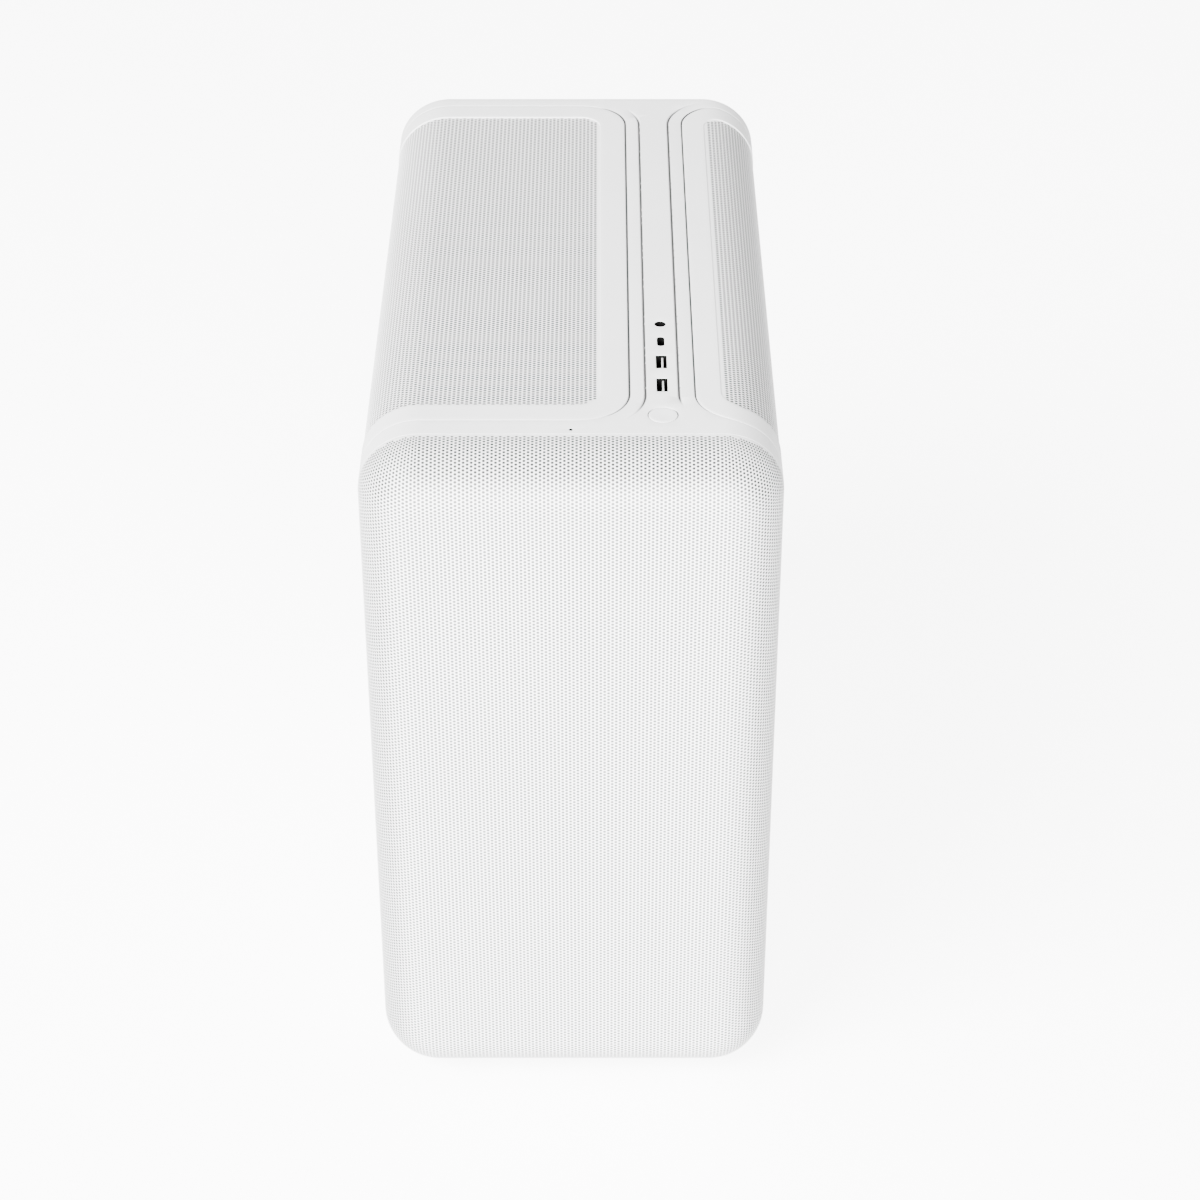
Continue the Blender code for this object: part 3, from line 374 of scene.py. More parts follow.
def insert_area(word):
    """Lowest and highest pattern point of the opening in a side panel."""
    low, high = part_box(word + "_mesh")
    gap = 0.3 * MM
    foot = length_at(low[2] - gap)
    if word == "left":
        return (-foot, low[1] - gap), (high[0] + gap, high[1] + gap)
    start = FLAT + CORNER * math.asin(min(1, max(0, (low[0] - gap - FLAT) / CORNER)))
    return (start, low[1] - gap), (foot, high[1] + gap)


for word in ("left", "right"):
    low, high = insert_area(word)
    under_low, under_high = (low[0] - LIP, low[1] - LIP), (high[0] + LIP, high[1] + LIP)
    insert = perforated_sheet(word + "_insert_sheet", under_low, under_high, INSERT_CORNER + LIP,
                              INSERT_PITCH, skin, INSERT_DEPTH, 0.5 * MM, 1.2 * MM, 5 * MM)
    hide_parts(word + "_mesh")
    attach(insert, word + "_panel")

# %% [markdown]
# ## The side panels
# A panel is a moulded frame round its insert: a thin rounded outer edge at the seam, a flat face, and a
# softer inner edge that drops to a rebate for the insert. It is lofted: the same outline is drawn at many
# offsets and depths, and neighbouring loops are joined by quads. That keeps both edges evenly rounded all
# the way, also where the panel bends over the top.

# %% Lofted panel frames
PANEL_CORNER = 25 * MM
LEDGE = 1.1 * MM
SEAM_ROUND = 0.5 * MM
LIP_ROUND = 0.4 * MM


def quarter_round(radius, steps=4):
    """Offsets and depths that roll an upright wall over into a flat face."""
    return [(radius * (1 - math.cos(a)), radius * (1 - math.sin(a)))
            for a in [math.pi / 2 * k / steps for k in range(steps + 1)]]


def lofted(name, rows, lay):
    """A closed piece whose rows of pattern points, each at a depth, are joined all the way round."""
    points = np.concatenate([lay(row[:, 0], row[:, 1], depth) for row, depth in rows])
    piece = make_piece(name, points, joined_loops(len(rows[0][0]), len(rows)))
    face_outwards(piece)
    return piece


def panel_area(word):
    """Lowest and highest pattern point of a side panel."""
    foot = length_at(PANEL_FOOT)
    if word == "left":
        return (-foot, PANEL_FRONT), (LEFT_EDGE, PANEL_REAR)
    return (RIGHT_EDGE, PANEL_FRONT), (foot, PANEL_REAR)


def build_panel(word):
    """The moulded frame of one side panel."""
    runs = (170, 40)
    outer, outer_away = outline(*panel_area(word), PANEL_CORNER, runs, 16)
    inner, inner_away = outline(*insert_area(word), INSERT_CORNER, runs, 16)
    stepped = outer - 1.9 * MM * outer_away
    rows = [(stepped, WALL), (stepped, LEDGE - 0.15 * MM), (outer, LEDGE - 0.15 * MM)]
    rows += [(outer - offset * outer_away, depth) for offset, depth in quarter_round(SEAM_ROUND)]
    first, last = outer - SEAM_ROUND * outer_away, inner + LIP_ROUND * inner_away
    rows += [(first + (last - first) * k / 6, 0.0) for k in range(1, 6)]
    rows += [(inner + offset * inner_away, depth) for offset, depth in reversed(quarter_round(LIP_ROUND))]
    lip_under = INSERT_DEPTH - 0.05 * MM
    rebate = inner + (LIP + 0.3 * MM) * inner_away
    rows += [(inner, lip_under), (rebate, lip_under), (rebate, WALL)]
    rows += [(rebate + (stepped - rebate) * k / 4, WALL) for k in range(1, 4)]
    panel = lofted(word + "_panel_frame", rows, skin)
    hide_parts(word + "_side_panel")
    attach(panel, word + "_panel")
    print(panel.name, len(panel.data.polygons), "faces")
    return panel


panels = [build_panel(word) for word in ("left", "right")]

# %% [markdown]
# ## The outer frame
# Everything between the panels is one moulding: a ring behind the front cover, the strip along the top, the
# tub underneath and the ring at the back. It is drawn as one flat pattern with holes for the panels, the
# button, the sockets, a pinhole and the vent below. The pattern is filled with triangles, wrapped round
# the case, and every hole gets a small rounded edge and a wall.

# %% Loops that bound the frame
SEAM = 0.75 * MM
FINE_SEAM = 0.12 * MM
PANEL_REACH = 19 * MM
BUTTON_HOLE = 7.2 * MM
button_low, button_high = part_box("power_button")
BUTTON_Y = (button_low[1] + button_high[1]) / 2


def circle(centre, radius, count=40):
    """Points and outward directions round a circle."""
    angles = np.arange(count) * 2 * math.pi / count
    away = np.stack([np.cos(angles), np.sin(angles)], axis=-1)
    return np.array(centre) + radius * away, away


def smooth(value):
    """A soft step from 0 to 1."""
    value = np.clip(value, 0, 1)
    return value * value * (3 - 2 * value)


def mouth_area(node, sheet=0.4 * MM):
    """The opening inside a socket's shell, as lowest and highest pattern point."""
    low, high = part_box(node)
    return (low[0] + sheet, low[1] + sheet), (high[0] - sheet, high[1] - sheet)


holes = []
painted_seam_shades = []
for word in ("left", "right"):
    loop, away = outline(*panel_area(word), PANEL_CORNER, (170, 40), 16)
    edge = LEFT_EDGE if word == "left" else RIGHT_EDGE
    beside_strip = smooth((PANEL_REACH - np.abs(loop[:, 0] - edge)) / (14 * MM))
    gap = FINE_SEAM + (SEAM - FINE_SEAM) * beside_strip
    holes.append((loop + gap[:, None] * away, away, 0.25 * MM + 0.25 * MM * beside_strip))
    # Painted shade along each panel seam, strongest beside the strip.
    painted_seam_shades.append(0.04 + 0.96 * beside_strip)

sockets = [(*outline(*mouth_area("usb_a_shell_" + word, 0.25 * MM), 0.4 * MM, (3, 6), 4), 0.2 * MM)
           for word in ("front", "rear")]
usb_c_low, usb_c_high = mouth_area("usb_c_socket", 0.1 * MM)
sockets.append((*outline(usb_c_low, usb_c_high, 0.49 * (usb_c_high[0] - usb_c_low[0]), (1, 4), 8), 0.2 * MM))
jack_low, jack_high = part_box("audio_jack")
jack_centre = (STRIP_X, (jack_low[1] + jack_high[1]) / 2)
sockets.append((*circle(jack_centre, 2.9 * MM), 0.25 * MM))
button_loop, button_away = circle((STRIP_X, BUTTON_Y), BUTTON_HOLE, 64)
sockets.append((button_loop, button_away, 0.7 * MM))
sockets.append((*circle((0.0, FRAME_FRONT + 4 * MM), 0.95 * MM, 16), 0.1 * MM))
holes += [(loop, away, np.full(len(loop), radius)) for loop, away, radius in sockets]
# Painted shade on the left and right of the button's ring and in the pinhole; none round the sockets and the vent.
painted_seam_shades += [0.0, 0.0, 0.0, 0.0, 0.85 * np.abs(button_away[:, 0]) ** 3, 1.0, 0.0]
vent_low, vent_high = (-47 * MM, 72 * MM), (57 * MM, 162 * MM)
vent = outline((vent_low[0] - HALF_ROUND, vent_low[1]), (vent_high[0] - HALF_ROUND, vent_high[1]), 8 * MM,
               (12, 10), 6)
holes.append((*vent, np.full(len(vent[0]), 0.5 * MM)))
print("holes in the frame:", len(holes))

# %% [markdown]
# ## Two shallow grooves beside the sockets
# A pair of fine grooves runs along the strip. At both ends each swings outwards on the same centre as the
# panel's corner, and then fades out. The grooves are part of the moulding, so they are pressed into the
# same surface, by a depth that is worked out from the distance to the groove's path.

# %% Grooves
GROOVE_INSET = 8.3 * MM
GROOVE_DEPTH = 1.2 * MM
GROOVE_HALF = 1.0 * MM
TURN_FRONT = PANEL_FRONT + PANEL_CORNER
TURN_REAR = PANEL_REAR - PANEL_CORNER
GROOVE_RADIUS = PANEL_CORNER + GROOVE_INSET
FADES = {("left", "front"): (0, 52), ("left", "rear"): (4, 40),
         ("right", "front"): (2, 22), ("right", "rear"): (20, 66)}


def groove_depth(u, y):
    """How far the two grooves sink the surface at pattern points."""
    depth = np.zeros_like(u)
    beyond = np.maximum(TURN_FRONT - y, 0) + np.maximum(y - TURN_REAR, 0)
    for word, edge, side in (("left", LEFT_EDGE, 1), ("right", RIGHT_EDGE, -1)):
        across = side * (u - edge) + PANEL_CORNER
        away = np.abs(np.hypot(np.maximum(across, 0), beyond) - GROOVE_RADIUS)
        angle = np.arctan2(beyond, np.maximum(across, 1e-9))
        front, rear = np.radians(FADES[word, "front"]), np.radians(FADES[word, "rear"])
        start, end = np.where(y < 0, front[0], rear[0]), np.where(y < 0, front[1], rear[1])
        strength = 1 - smooth((angle - start) / (end - start))
        shape = 1 - smooth(away / GROOVE_HALF)
        depth = np.maximum(depth, np.where(across > 0, GROOVE_DEPTH * strength * shape, 0))
    return depth


def groove_points():
    """Pattern points in five rows along each groove."""
    path = [(0.0, GROOVE_RADIUS, y) for y in np.arange(TURN_FRONT, TURN_REAR, 1.9 * MM)]
    for angle in np.radians(np.arange(0, 78, 2.5)):
        for turn_y, sign in ((TURN_FRONT, -1), (TURN_REAR, 1)):
            path.append((sign * angle, GROOVE_RADIUS, turn_y))
    rows = []
    for shift in (-1.0, -0.66, -0.33, 0.0, 0.33, 0.66, 1.0):
        for edge, side in ((LEFT_EDGE, 1), (RIGHT_EDGE, -1)):
            for angle, radius, y in path:
                reach = radius + shift * GROOVE_HALF
                u = edge + side * (reach * math.cos(angle) - PANEL_CORNER)
                rows.append((u, y + reach * math.sin(angle)))
    return np.array(rows)


# %% [markdown]
# ## Joining the frame's two faces
# The outer face and the inner face use the same triangles, the inner one turned round. Between them each
# hole has its rounded edge and its wall, and so do the front and the rear rim. The result is a closed
# moulding 2.5 mm thick.

# %% Outer frame
REAR_ROUND = 2 * MM
FRONT_ROUND = 0.5 * MM
SEAM_U = 60 * MM


def frame_grid():
    """Pattern points spread over the frame, closer together where the case is rounded."""
    start = -HALF_ROUND - SEAM_U
    arcs = [FLAT + ARC * k / 18 for k in range(19)] + [HALF_ROUND - FLAT - ARC * k / 18 for k in range(19)]
    step = 9 * MM
    flats = list(np.arange(0, FLAT, step))
    flats += list(np.arange(FLAT + ARC + step, HALF_ROUND - FLAT - ARC, step))
    flats += list(np.arange(HALF_ROUND - FLAT + step, HALF_ROUND, step))
    columns = np.array(arcs + flats)
    columns = np.concatenate([columns, -columns])
    columns = np.mod(columns - start, 2 * HALF_ROUND) + start
    columns = columns[(columns > start + MM) & (columns < start + 2 * HALF_ROUND - MM)]
    rows = list(np.arange(FRAME_FRONT + 3 * MM, PANEL_FRONT, 3 * MM))
    rows += list(np.arange(PANEL_FRONT, PANEL_REAR, 8 * MM))
    rows += list(np.arange(PANEL_REAR + 2 * MM, REAR - REAR_ROUND - MM, 3 * MM))
    grid = np.stack(np.meshgrid(np.unique(columns), rows, indexing="ij"), axis=-1).reshape(-1, 2)
    return np.concatenate([grid, groove_points()])


def clear_of_holes(points):
    """Which points lie on the frame's material, a little away from every hole."""
    clear = np.ones(len(points), dtype=bool)
    for loop, away, radius in holes:
        polygon = loop + (radius[:, None] + 0.35 * MM) * away
        ahead = np.roll(polygon, -1, axis=0)
        above = (points >= polygon.min(axis=0)).all(axis=1)
        below = (points <= polygon.max(axis=0)).all(axis=1)
        near = np.nonzero(above & below)[0]
        x, y = points[near, 0][:, None], points[near, 1][:, None]
        crosses = (polygon[:, 1] > y) != (ahead[:, 1] > y)
        rise = np.where(ahead[:, 1] == polygon[:, 1], 1, ahead[:, 1] - polygon[:, 1])
        slope = (ahead[:, 0] - polygon[:, 0]) / rise
        hits = crosses & (x < polygon[:, 0] + slope * (y - polygon[:, 1]))
        clear[near[hits.sum(axis=1) % 2 == 1]] = False
    return clear


def build_frame():
    """The one-piece outer frame."""
    start = -HALF_ROUND - SEAM_U
    grid = frame_grid()
    grid = grid[clear_of_holes(grid)]
    across = np.unique(np.round(grid[:, 0], 6))
    across = np.concatenate([[start], across[np.concatenate([[True], np.diff(across) > 0.4 * MM])],
                             [start + 2 * HALF_ROUND]])
    front_rim = np.stack([across, np.full(len(across), FRAME_FRONT + FRONT_ROUND)], axis=-1)
    rear_rim = np.stack([across, np.full(len(across), REAR - REAR_ROUND)], axis=-1)
    seam_rows = np.arange(FRAME_FRONT + 4 * MM, REAR - REAR_ROUND - 2 * MM, 8 * MM)
    ends = [np.stack([np.full(len(seam_rows), u), seam_rows], axis=-1)
            for u in (start, start + 2 * HALF_ROUND)]
    points = np.concatenate([front_rim, ends[1], rear_rim[::-1], ends[0][::-1]])
    loops = [np.arange(len(points))]
    front_index = np.arange(len(across))
    rear_index = len(across) + len(seam_rows) + np.arange(len(across))[::-1]
    for loop, away, radius in holes:
        loops.append(len(points) + np.arange(len(loop)))
        points = np.concatenate([points, loop + radius[:, None] * away])
    points = np.concatenate([points, grid])
    triangles = fill_between(points, loops[0], loop_edges(loops[1:]))

    count = len(points)
    grooves = groove_depth(points[:, 0], points[:, 1])
    places = [skin(points[:, 0], points[:, 1], grooves), skin(points[:, 0], points[:, 1], WALL)]
    # The grooves also get painted shade, by their depth, through the value called shade.
    shades = [grooves / GROOVE_DEPTH, np.zeros(count)]
    faces = [tuple(face) for face in triangles]
    faces += [tuple(count + corner for corner in reversed(face)) for face in triangles]
    total = 2 * count

    def add_rows(rows, first, last, closed, shade=0.0):
        """Joins rows of new places between two rows of points that are there already.

        shade says how dark each point of the new rows is painted, as painted shade in a seam.
        """
        nonlocal total
        before = first
        for row in rows + [None]:
            now = last if row is None else total + np.arange(len(first))
            if row is not None:
                places.append(row)
                shades.append(np.zeros(len(first)) + shade * (row is not rows[0]))
                total += len(first)
            pairs = range(0 if closed else 1, len(first))
            faces.extend((before[k - 1], before[k], now[k], now[k - 1]) for k in pairs)
            before = now

    for index, (loop, away, radius) in enumerate(holes):
        rows = []
        for share, sink in list(reversed(quarter_round(1.0)))[1:]:
            shifted = loop + (share * radius)[:, None] * away
            rows.append(skin(shifted[:, 0], shifted[:, 1], sink * radius))
        if index < 2:
            ledge = loop - 1.7 * MM * away
            rows += [skin(loop[:, 0], loop[:, 1], LEDGE), skin(ledge[:, 0], ledge[:, 1], LEDGE),
                     skin(ledge[:, 0], ledge[:, 1], WALL)]
        rows.append(skin(loop[:, 0], loop[:, 1], WALL))
        add_rows(rows, loops[index + 1], count + loops[index + 1], True, painted_seam_shades[index])
    for rim, edge, radius, sign in ((front_index, FRAME_FRONT, FRONT_ROUND, 1),
                                    (rear_index, REAR, REAR_ROUND, -1)):
        u = points[rim, 0]
        rows = [skin(u, edge + sign * offset, depth)
                for offset, depth in list(reversed(quarter_round(radius, 6)))[1:]]
        add_rows(rows + [skin(u, edge, WALL)], rim, count + rim, False)
    frame_piece = make_piece("outer_frame", np.concatenate(places), faces)
    add_values(frame_piece, "shade", np.concatenate(shades))
    open_edges = face_outwards(frame_piece, 0.01 * MM)
    print("outer frame:", len(frame_piece.data.polygons), "faces,", open_edges, "open edges")
    return frame_piece


outer_frame = build_frame()
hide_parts("front_ring", "rear_ring", "top_strip", "bottom_tub")
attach(outer_frame, "case")

# %% [markdown]
# ## The power button
# The button is a flat cap that sits flush in its hole, with only a hairline round it. It is turned on its
# axis: a profile with a rounded rim, spun round, and a thin stem below that reaches the switch.

# %% Power button
BUTTON_RADIUS = 7.1 * MM


def turned(name, profile, centre, axis=2, count=48):
    """A closed turned piece: a profile of (radius, height) pairs spun round an axis through a point."""
    rows = []
    for radius, height in profile:
        ring, _ = circle((0.0, 0.0), max(radius, 1e-6), count)
        rows.append(np.column_stack([ring, np.full(count, height)]))
    order = {0: (2, 0, 1), 1: (1, 2, 0), 2: (0, 1, 2)}[axis]
    points = np.concatenate(rows)[:, order] + np.array(centre)
    faces = joined_loops(count, len(profile), False)
    faces += [tuple(range(count)), tuple((len(profile) - 1) * count + k for k in range(count))]
    piece = make_piece(name, points, faces)
    face_outwards(piece, 0.002 * MM)
    return piece


stem_low = button_low[2] - TOP
cap_rim = 0.6 * MM
cap = [(2 * MM, stem_low), (2 * MM, -5 * MM), (BUTTON_RADIUS, -5 * MM)]
cap += [(BUTTON_RADIUS - offset, -depth) for offset, depth in quarter_round(cap_rim, 5)]
cap += [(4.5 * MM, -0.08 * MM), (2 * MM, -0.2 * MM), (0.5 * MM, -0.24 * MM)]
button = turned("button_cap", cap, (STRIP_X, BUTTON_Y, TOP), count=64)
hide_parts("power_button")
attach(button, "button")

# %% [markdown]
# ## Sockets that reach the surface
# A socket's shell lies below the moulding, but from above each mouth looks black right up to its edge. A thin
# dark collar lines every mouth, partly as the rim of a real socket module and partly as painted shade inside it;
# in the pinhole it is painted shade only. The pale tongue of each USB-A socket stands almost level with the
# surface.

# %% Socket collars and tongues
COLLAR_WALL = 0.3 * MM


def collar(name, loop, away):
    """A thin tube that lines a mouth from just under the surface to below the moulding."""
    top, foot = 0.22 * MM, WALL + 0.2 * MM
    round_off = 0.08 * MM
    rows = [(-0.02 * MM, foot), (-0.02 * MM, top), (-0.1 * MM, top - round_off),
            (-COLLAR_WALL + round_off, top - round_off), (-COLLAR_WALL, top), (-COLLAR_WALL, foot)]
    piece = lofted(name, [(loop + offset * away, depth) for offset, depth in rows], skin)
    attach(piece, "case")
    return piece


def piece_from(bm, name):
    """An object from a finished bmesh, smooth but sharp at its corners."""
    mesh = bpy.data.meshes.new(name)
    bm.to_mesh(mesh)
    bm.free()
    mesh.shade_smooth()
    mesh.set_sharp_from_angle(angle=math.radians(35))
    return link_object(name, mesh)


def bevelled_box(name, low, high, bevel):
    """A box with small rounded edges."""
    bm = bmesh.new()
    size, middle = Vector(high) - Vector(low), (Vector(high) + Vector(low)) / 2
    bmesh.ops.create_cube(bm, size=1.0, matrix=Matrix.Translation(middle) @ Matrix.Diagonal((*size, 1.0)))
    bmesh.ops.bevel(bm, geom=bm.edges, offset=bevel, segments=2, profile=0.5, affect="EDGES")
    return piece_from(bm, name)


COLLARED = {"usb_a_front": 0, "usb_a_rear": 1, "usb_c": 2, "audio_jack": 3, "pinhole": 5}
collars = [collar(word + "_collar", *sockets[index][:2]) for word, index in COLLARED.items()]
tongues = []
for word in ("front", "rear"):
    low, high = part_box("usb_a_tongue_" + word)
    tongue = bevelled_box("usb_a_%s_tongue" % word, (low[0] - 0.3 * MM, low[1] - 0.4 * MM, low[2]),
                          (high[0] - 0.85 * MM, high[1] + 0.4 * MM, TOP - 1.2 * MM), 0.12 * MM)
    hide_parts("usb_a_tongue_" + word)
    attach(tongue, "case")
    tongues.append(tongue)

# %% [markdown]
# ## Finishes from nodes
# Every finish is made of the same few layers: a broad noise that lets the tone and the gloss wander a
# little, as on any real surface, and a fine grain as bump. Stretching the grain along one axis turns it
# into brushed metal. The helper keeps these layers in one place, so each finish is a short call.

# %% Node helpers
def add_node(tree, kind, inputs=None, **settings):
    """A node with its settings, and with each input either linked or set."""
    node = tree.nodes.new(kind)
    for key, value in settings.items():
        setattr(node, key, value)
    for socket, value in (inputs or {}).items():
        if isinstance(value, bpy.types.NodeSocket):
            tree.links.new(value, node.inputs[socket])
        else:
            node.inputs[socket].default_value = value
    return node


def blend_colours(tree, share, first, second):
    """The colour between two colours or sockets, by a share."""
    node = add_node(tree, "ShaderNodeMix", {"Factor": share}, data_type="RGBA")
    for socket, value in ((node.inputs[6], first), (node.inputs[7], second)):
        if isinstance(value, bpy.types.NodeSocket):
            tree.links.new(value, socket)
        else:
            socket.default_value = (*value, 1.0)
    return node.outputs[2]


def remap(tree, value, low, high, to_low, to_high):
    """A value carried smoothly from one range to another."""
    inputs = {"Value": value, "From Min": low, "From Max": high, "To Min": to_low, "To Max": to_high}
    return add_node(tree, "ShaderNodeMapRange", inputs, interpolation_type="SMOOTHSTEP").outputs["Result"]


def noise(tree, spot, scale, detail):
    """A noise value at a place."""
    inputs = {"Vector": spot, "Scale": scale, "Detail": detail}
    return add_node(tree, "ShaderNodeTexNoise", inputs).outputs["Fac"]


def finish(name, light, dark, roughness, metallic=0.0, grain=1500.0, bump=0.15, stretch=(1, 1, 1),
           spread=0.06, broad=14.0):
    """A material with a wandering tone and gloss and a fine grain, and the sockets to build on."""
    material = bpy.data.materials.new(name)
    material.use_nodes = True
    tree = material.node_tree
    shader = tree.nodes["Principled BSDF"]
    shader.inputs["Metallic"].default_value = metallic
    spot = add_node(tree, "ShaderNodeTexCoord").outputs["Object"]
    wide = noise(tree, spot, broad, 3.0)
    colour = blend_colours(tree, remap(tree, wide, 0.3, 0.7, 0.0, 1.0), dark, light)
    gloss = remap(tree, wide, 0.3, 0.7, roughness - spread, roughness + spread)
    drawn = add_node(tree, "ShaderNodeMapping", {"Vector": spot, "Scale": stretch}).outputs["Vector"]
    fine = noise(tree, drawn, grain, 2.0)
    lift = add_node(tree, "ShaderNodeBump", {"Height": fine, "Strength": bump, "Distance": 0.1 * MM})
    tree.links.new(colour, shader.inputs["Base Color"])
    tree.links.new(gloss, shader.inputs["Roughness"])
    tree.links.new(lift.outputs["Normal"], shader.inputs["Normal"])
    return material, tree, shader, {"spot": spot, "wide": wide, "fine": fine, "colour": colour, "lift": lift}


# %% [markdown]
# ## White mouldings
# The frame and the panels are white plastic with a very fine satin grain. It is almost even in tone, so
# the two whites lie close together and the soft shading of the form stays clear.

# %% White plastics
WHITE, WHITE_DARK = (0.80, 0.80, 0.80), (0.775, 0.776, 0.778)
white_plastic, tree, shader, parts = finish("satin white plastic", WHITE, WHITE_DARK, 0.48,
                                            grain=2600.0, bump=0.10)
# Painted shade: the frame's value called shade darkens its seams, grooves, button ring and pinhole towards dark
# grey.
shade = add_node(tree, "ShaderNodeAttribute", attribute_name="shade").outputs["Fac"]
shaded = blend_colours(tree, remap(tree, shade, 0.05, 0.75, 0.0, 1.0), parts["colour"], (0.07, 0.07, 0.072))
tree.links.new(shaded, shader.inputs["Base Color"])
button_plastic, *_ = finish("button plastic", (0.81, 0.81, 0.81), (0.785, 0.786, 0.79), 0.40,
                            grain=2600.0, bump=0.08)
tongue_plastic, *_ = finish("light socket plastic", (0.60, 0.60, 0.60), (0.50, 0.50, 0.50), 0.5, bump=0.1)

# %% [markdown]
# ## Perforated white
# The sheets carry a value called hole, which is 1 in the middle of each hole and 0 on the web round it. A
# narrow step in that value draws each hole with an even edge and darkens it with painted shade, for the shade
# inside a real hole. The web keeps the same satin white as the mouldings. The rolled rim of the cover is seen at
# a slant, so its holes and web get more painted shade. The plates at the back use the same finish in bare and in
# black steel, and a flat black with hardly any shine, which is painted shade, lines the sockets.

# %% Perforated finish
RIM_SHADE = 0.78


def perforated_finish(name, web, hole_colour, metallic=0.0, rim_hole_shade=None):
    """A sheet whose holes get painted shade from the sheet's own hole value, and more painted shade on a rolled
    rim if asked.
    """
    material, tree, shader, parts = finish(name, web, tuple(0.97 * tone for tone in web), 0.5, metallic,
                                           grain=2600.0, bump=0.08)
    value = add_node(tree, "ShaderNodeAttribute", attribute_name="hole").outputs["Fac"]
    inside = remap(tree, value, 0.23, 0.47, 0.0, 1.0)
    web_colour = parts["colour"]
    # Painted shade on the cover's rolled rim: darker holes and a darker web there than on the face.
    if rim_hole_shade:
        back = add_node(tree, "ShaderNodeSeparateXYZ", {"Vector": parts["spot"]}).outputs["Y"]
        rolled = remap(tree, back, FRONT, FRONT + 0.3 * FILLET, 0.0, 1.0)
        hole_colour = blend_colours(tree, rolled, hole_colour, rim_hole_shade)
        web_colour = blend_colours(tree, rolled, web_colour, tuple(RIM_SHADE * tone for tone in web))
    colour = blend_colours(tree, inside, web_colour, hole_colour)
    tree.links.new(colour, shader.inputs["Base Color"])
    return material


cover_finish = perforated_finish("perforated cover white", (0.87, 0.87, 0.87), (0.115, 0.115, 0.117), 0.0,
                                 (0.022, 0.022, 0.023))
insert_finish = perforated_finish("perforated insert white", (0.81, 0.81, 0.81), (0.035, 0.035, 0.036))

vent_finish = perforated_finish("perforated steel", (0.42, 0.43, 0.44), (0.01, 0.01, 0.01), 1.0)
grille_finish = perforated_finish("perforated black steel", (0.02, 0.02, 0.021), (0.002, 0.002, 0.002))

# Painted shade: a flat black with almost no shine, for the shade inside the socket mouths.
painted_socket_shade, tree, shader, parts = finish("shaded socket", (0.004, 0.004, 0.004), (0.002, 0.002, 0.002),
                                           0.9, bump=0.1)
shader.inputs["Specular IOR Level"].default_value = 0.05

# %% [markdown]
# ## Black plastics and rubber
# Fans, sockets, the card's shroud and the filter are black mouldings. The feet are softer and duller, with
# a coarser grain.

# %% Black plastics and rubber
black_plastic, *_ = finish("matt black plastic", (0.022, 0.022, 0.024), (0.014, 0.014, 0.015), 0.50,
                           bump=0.25)
fan_plastic, *_ = finish("fan plastic", (0.034, 0.034, 0.036), (0.024, 0.024, 0.026), 0.42, bump=0.12)
rubber, *_ = finish("foot rubber", (0.055, 0.055, 0.057), (0.04, 0.04, 0.042), 0.85, grain=900.0, bump=0.4)

# %% [markdown]
# ## Steel sheet
# The chassis is zinc-coated steel. Its zinc sets in flat crystals, so cells of a Voronoi pattern shift the
# tone and the gloss a little from one crystal to the next. The supply's case is powder-coated black, whose
# fine orange-peel texture is only bump. Brackets and socket shells are nickel-plated and finely brushed.

# %% Metals
galvanised, tree, shader, parts = finish("zinc-coated steel", (0.42, 0.43, 0.44), (0.36, 0.37, 0.38), 0.36,
                                         metallic=1.0, bump=0.06)
crystals = add_node(tree, "ShaderNodeTexVoronoi", {"Vector": parts["spot"], "Scale": 240.0}).outputs["Color"]
grey = add_node(tree, "ShaderNodeRGBToBW", {"Color": crystals}).outputs["Val"]
spangle = blend_colours(tree, remap(tree, grey, 0.2, 0.8, 0.0, 1.0), (0.36, 0.37, 0.38), (0.42, 0.43, 0.44))
tree.links.new(spangle, shader.inputs["Base Color"])
tree.links.new(remap(tree, grey, 0.2, 0.8, 0.33, 0.42), shader.inputs["Roughness"])

dark_steel, *_ = finish("black powder coat", (0.016, 0.016, 0.017), (0.011, 0.011, 0.012), 0.5,
                        grain=1100.0, bump=0.5)
plated, *_ = finish("brushed nickel plate", (0.56, 0.57, 0.58), (0.48, 0.49, 0.50), 0.28, metallic=1.0,
                    grain=1400.0, bump=0.18, stretch=(1, 1, 0.06))
aluminium, *_ = finish("rolled aluminium", (0.80, 0.81, 0.82), (0.70, 0.71, 0.72), 0.34, metallic=1.0,
                       grain=1200.0, bump=0.15, stretch=(1, 1, 0.08))
brass, *_ = finish("gold-plated brass", (0.86, 0.66, 0.28), (0.74, 0.54, 0.20), 0.24, metallic=1.0, bump=0.08)

# %% [markdown]
# ## Circuit board
# A board is green lacquer over copper tracks. Thin square-cornered lines from a brick pattern stand a
# little proud and show a lighter green, and a dotted pattern of tinned pads sits between them.

# %% Circuit board
circuit_board, tree, shader, parts = finish("circuit board lacquer", (0.012, 0.070, 0.034),
                                            (0.010, 0.060, 0.029), 0.32, bump=0.05)
turned_spot = add_node(tree, "ShaderNodeMapping", {"Vector": parts["spot"], "Rotation": (0, math.pi / 2, 0)})
tracks = add_node(tree, "ShaderNodeTexBrick", {"Vector": turned_spot.outputs["Vector"], "Scale": 160.0,
                                               "Mortar Size": 0.045, "Brick Width": 1.9, "Row Height": 0.22})
pads = add_node(tree, "ShaderNodeTexVoronoi", {"Vector": parts["spot"], "Scale": 260.0}).outputs["Distance"]
pad = remap(tree, pads, 0.06, 0.09, 1.0, 0.0)
tracked = blend_colours(tree, tracks.outputs["Fac"], parts["colour"], (0.024, 0.11, 0.055))
padded = blend_colours(tree, pad, tracked, (0.55, 0.56, 0.52))
tree.links.new(padded, shader.inputs["Base Color"])

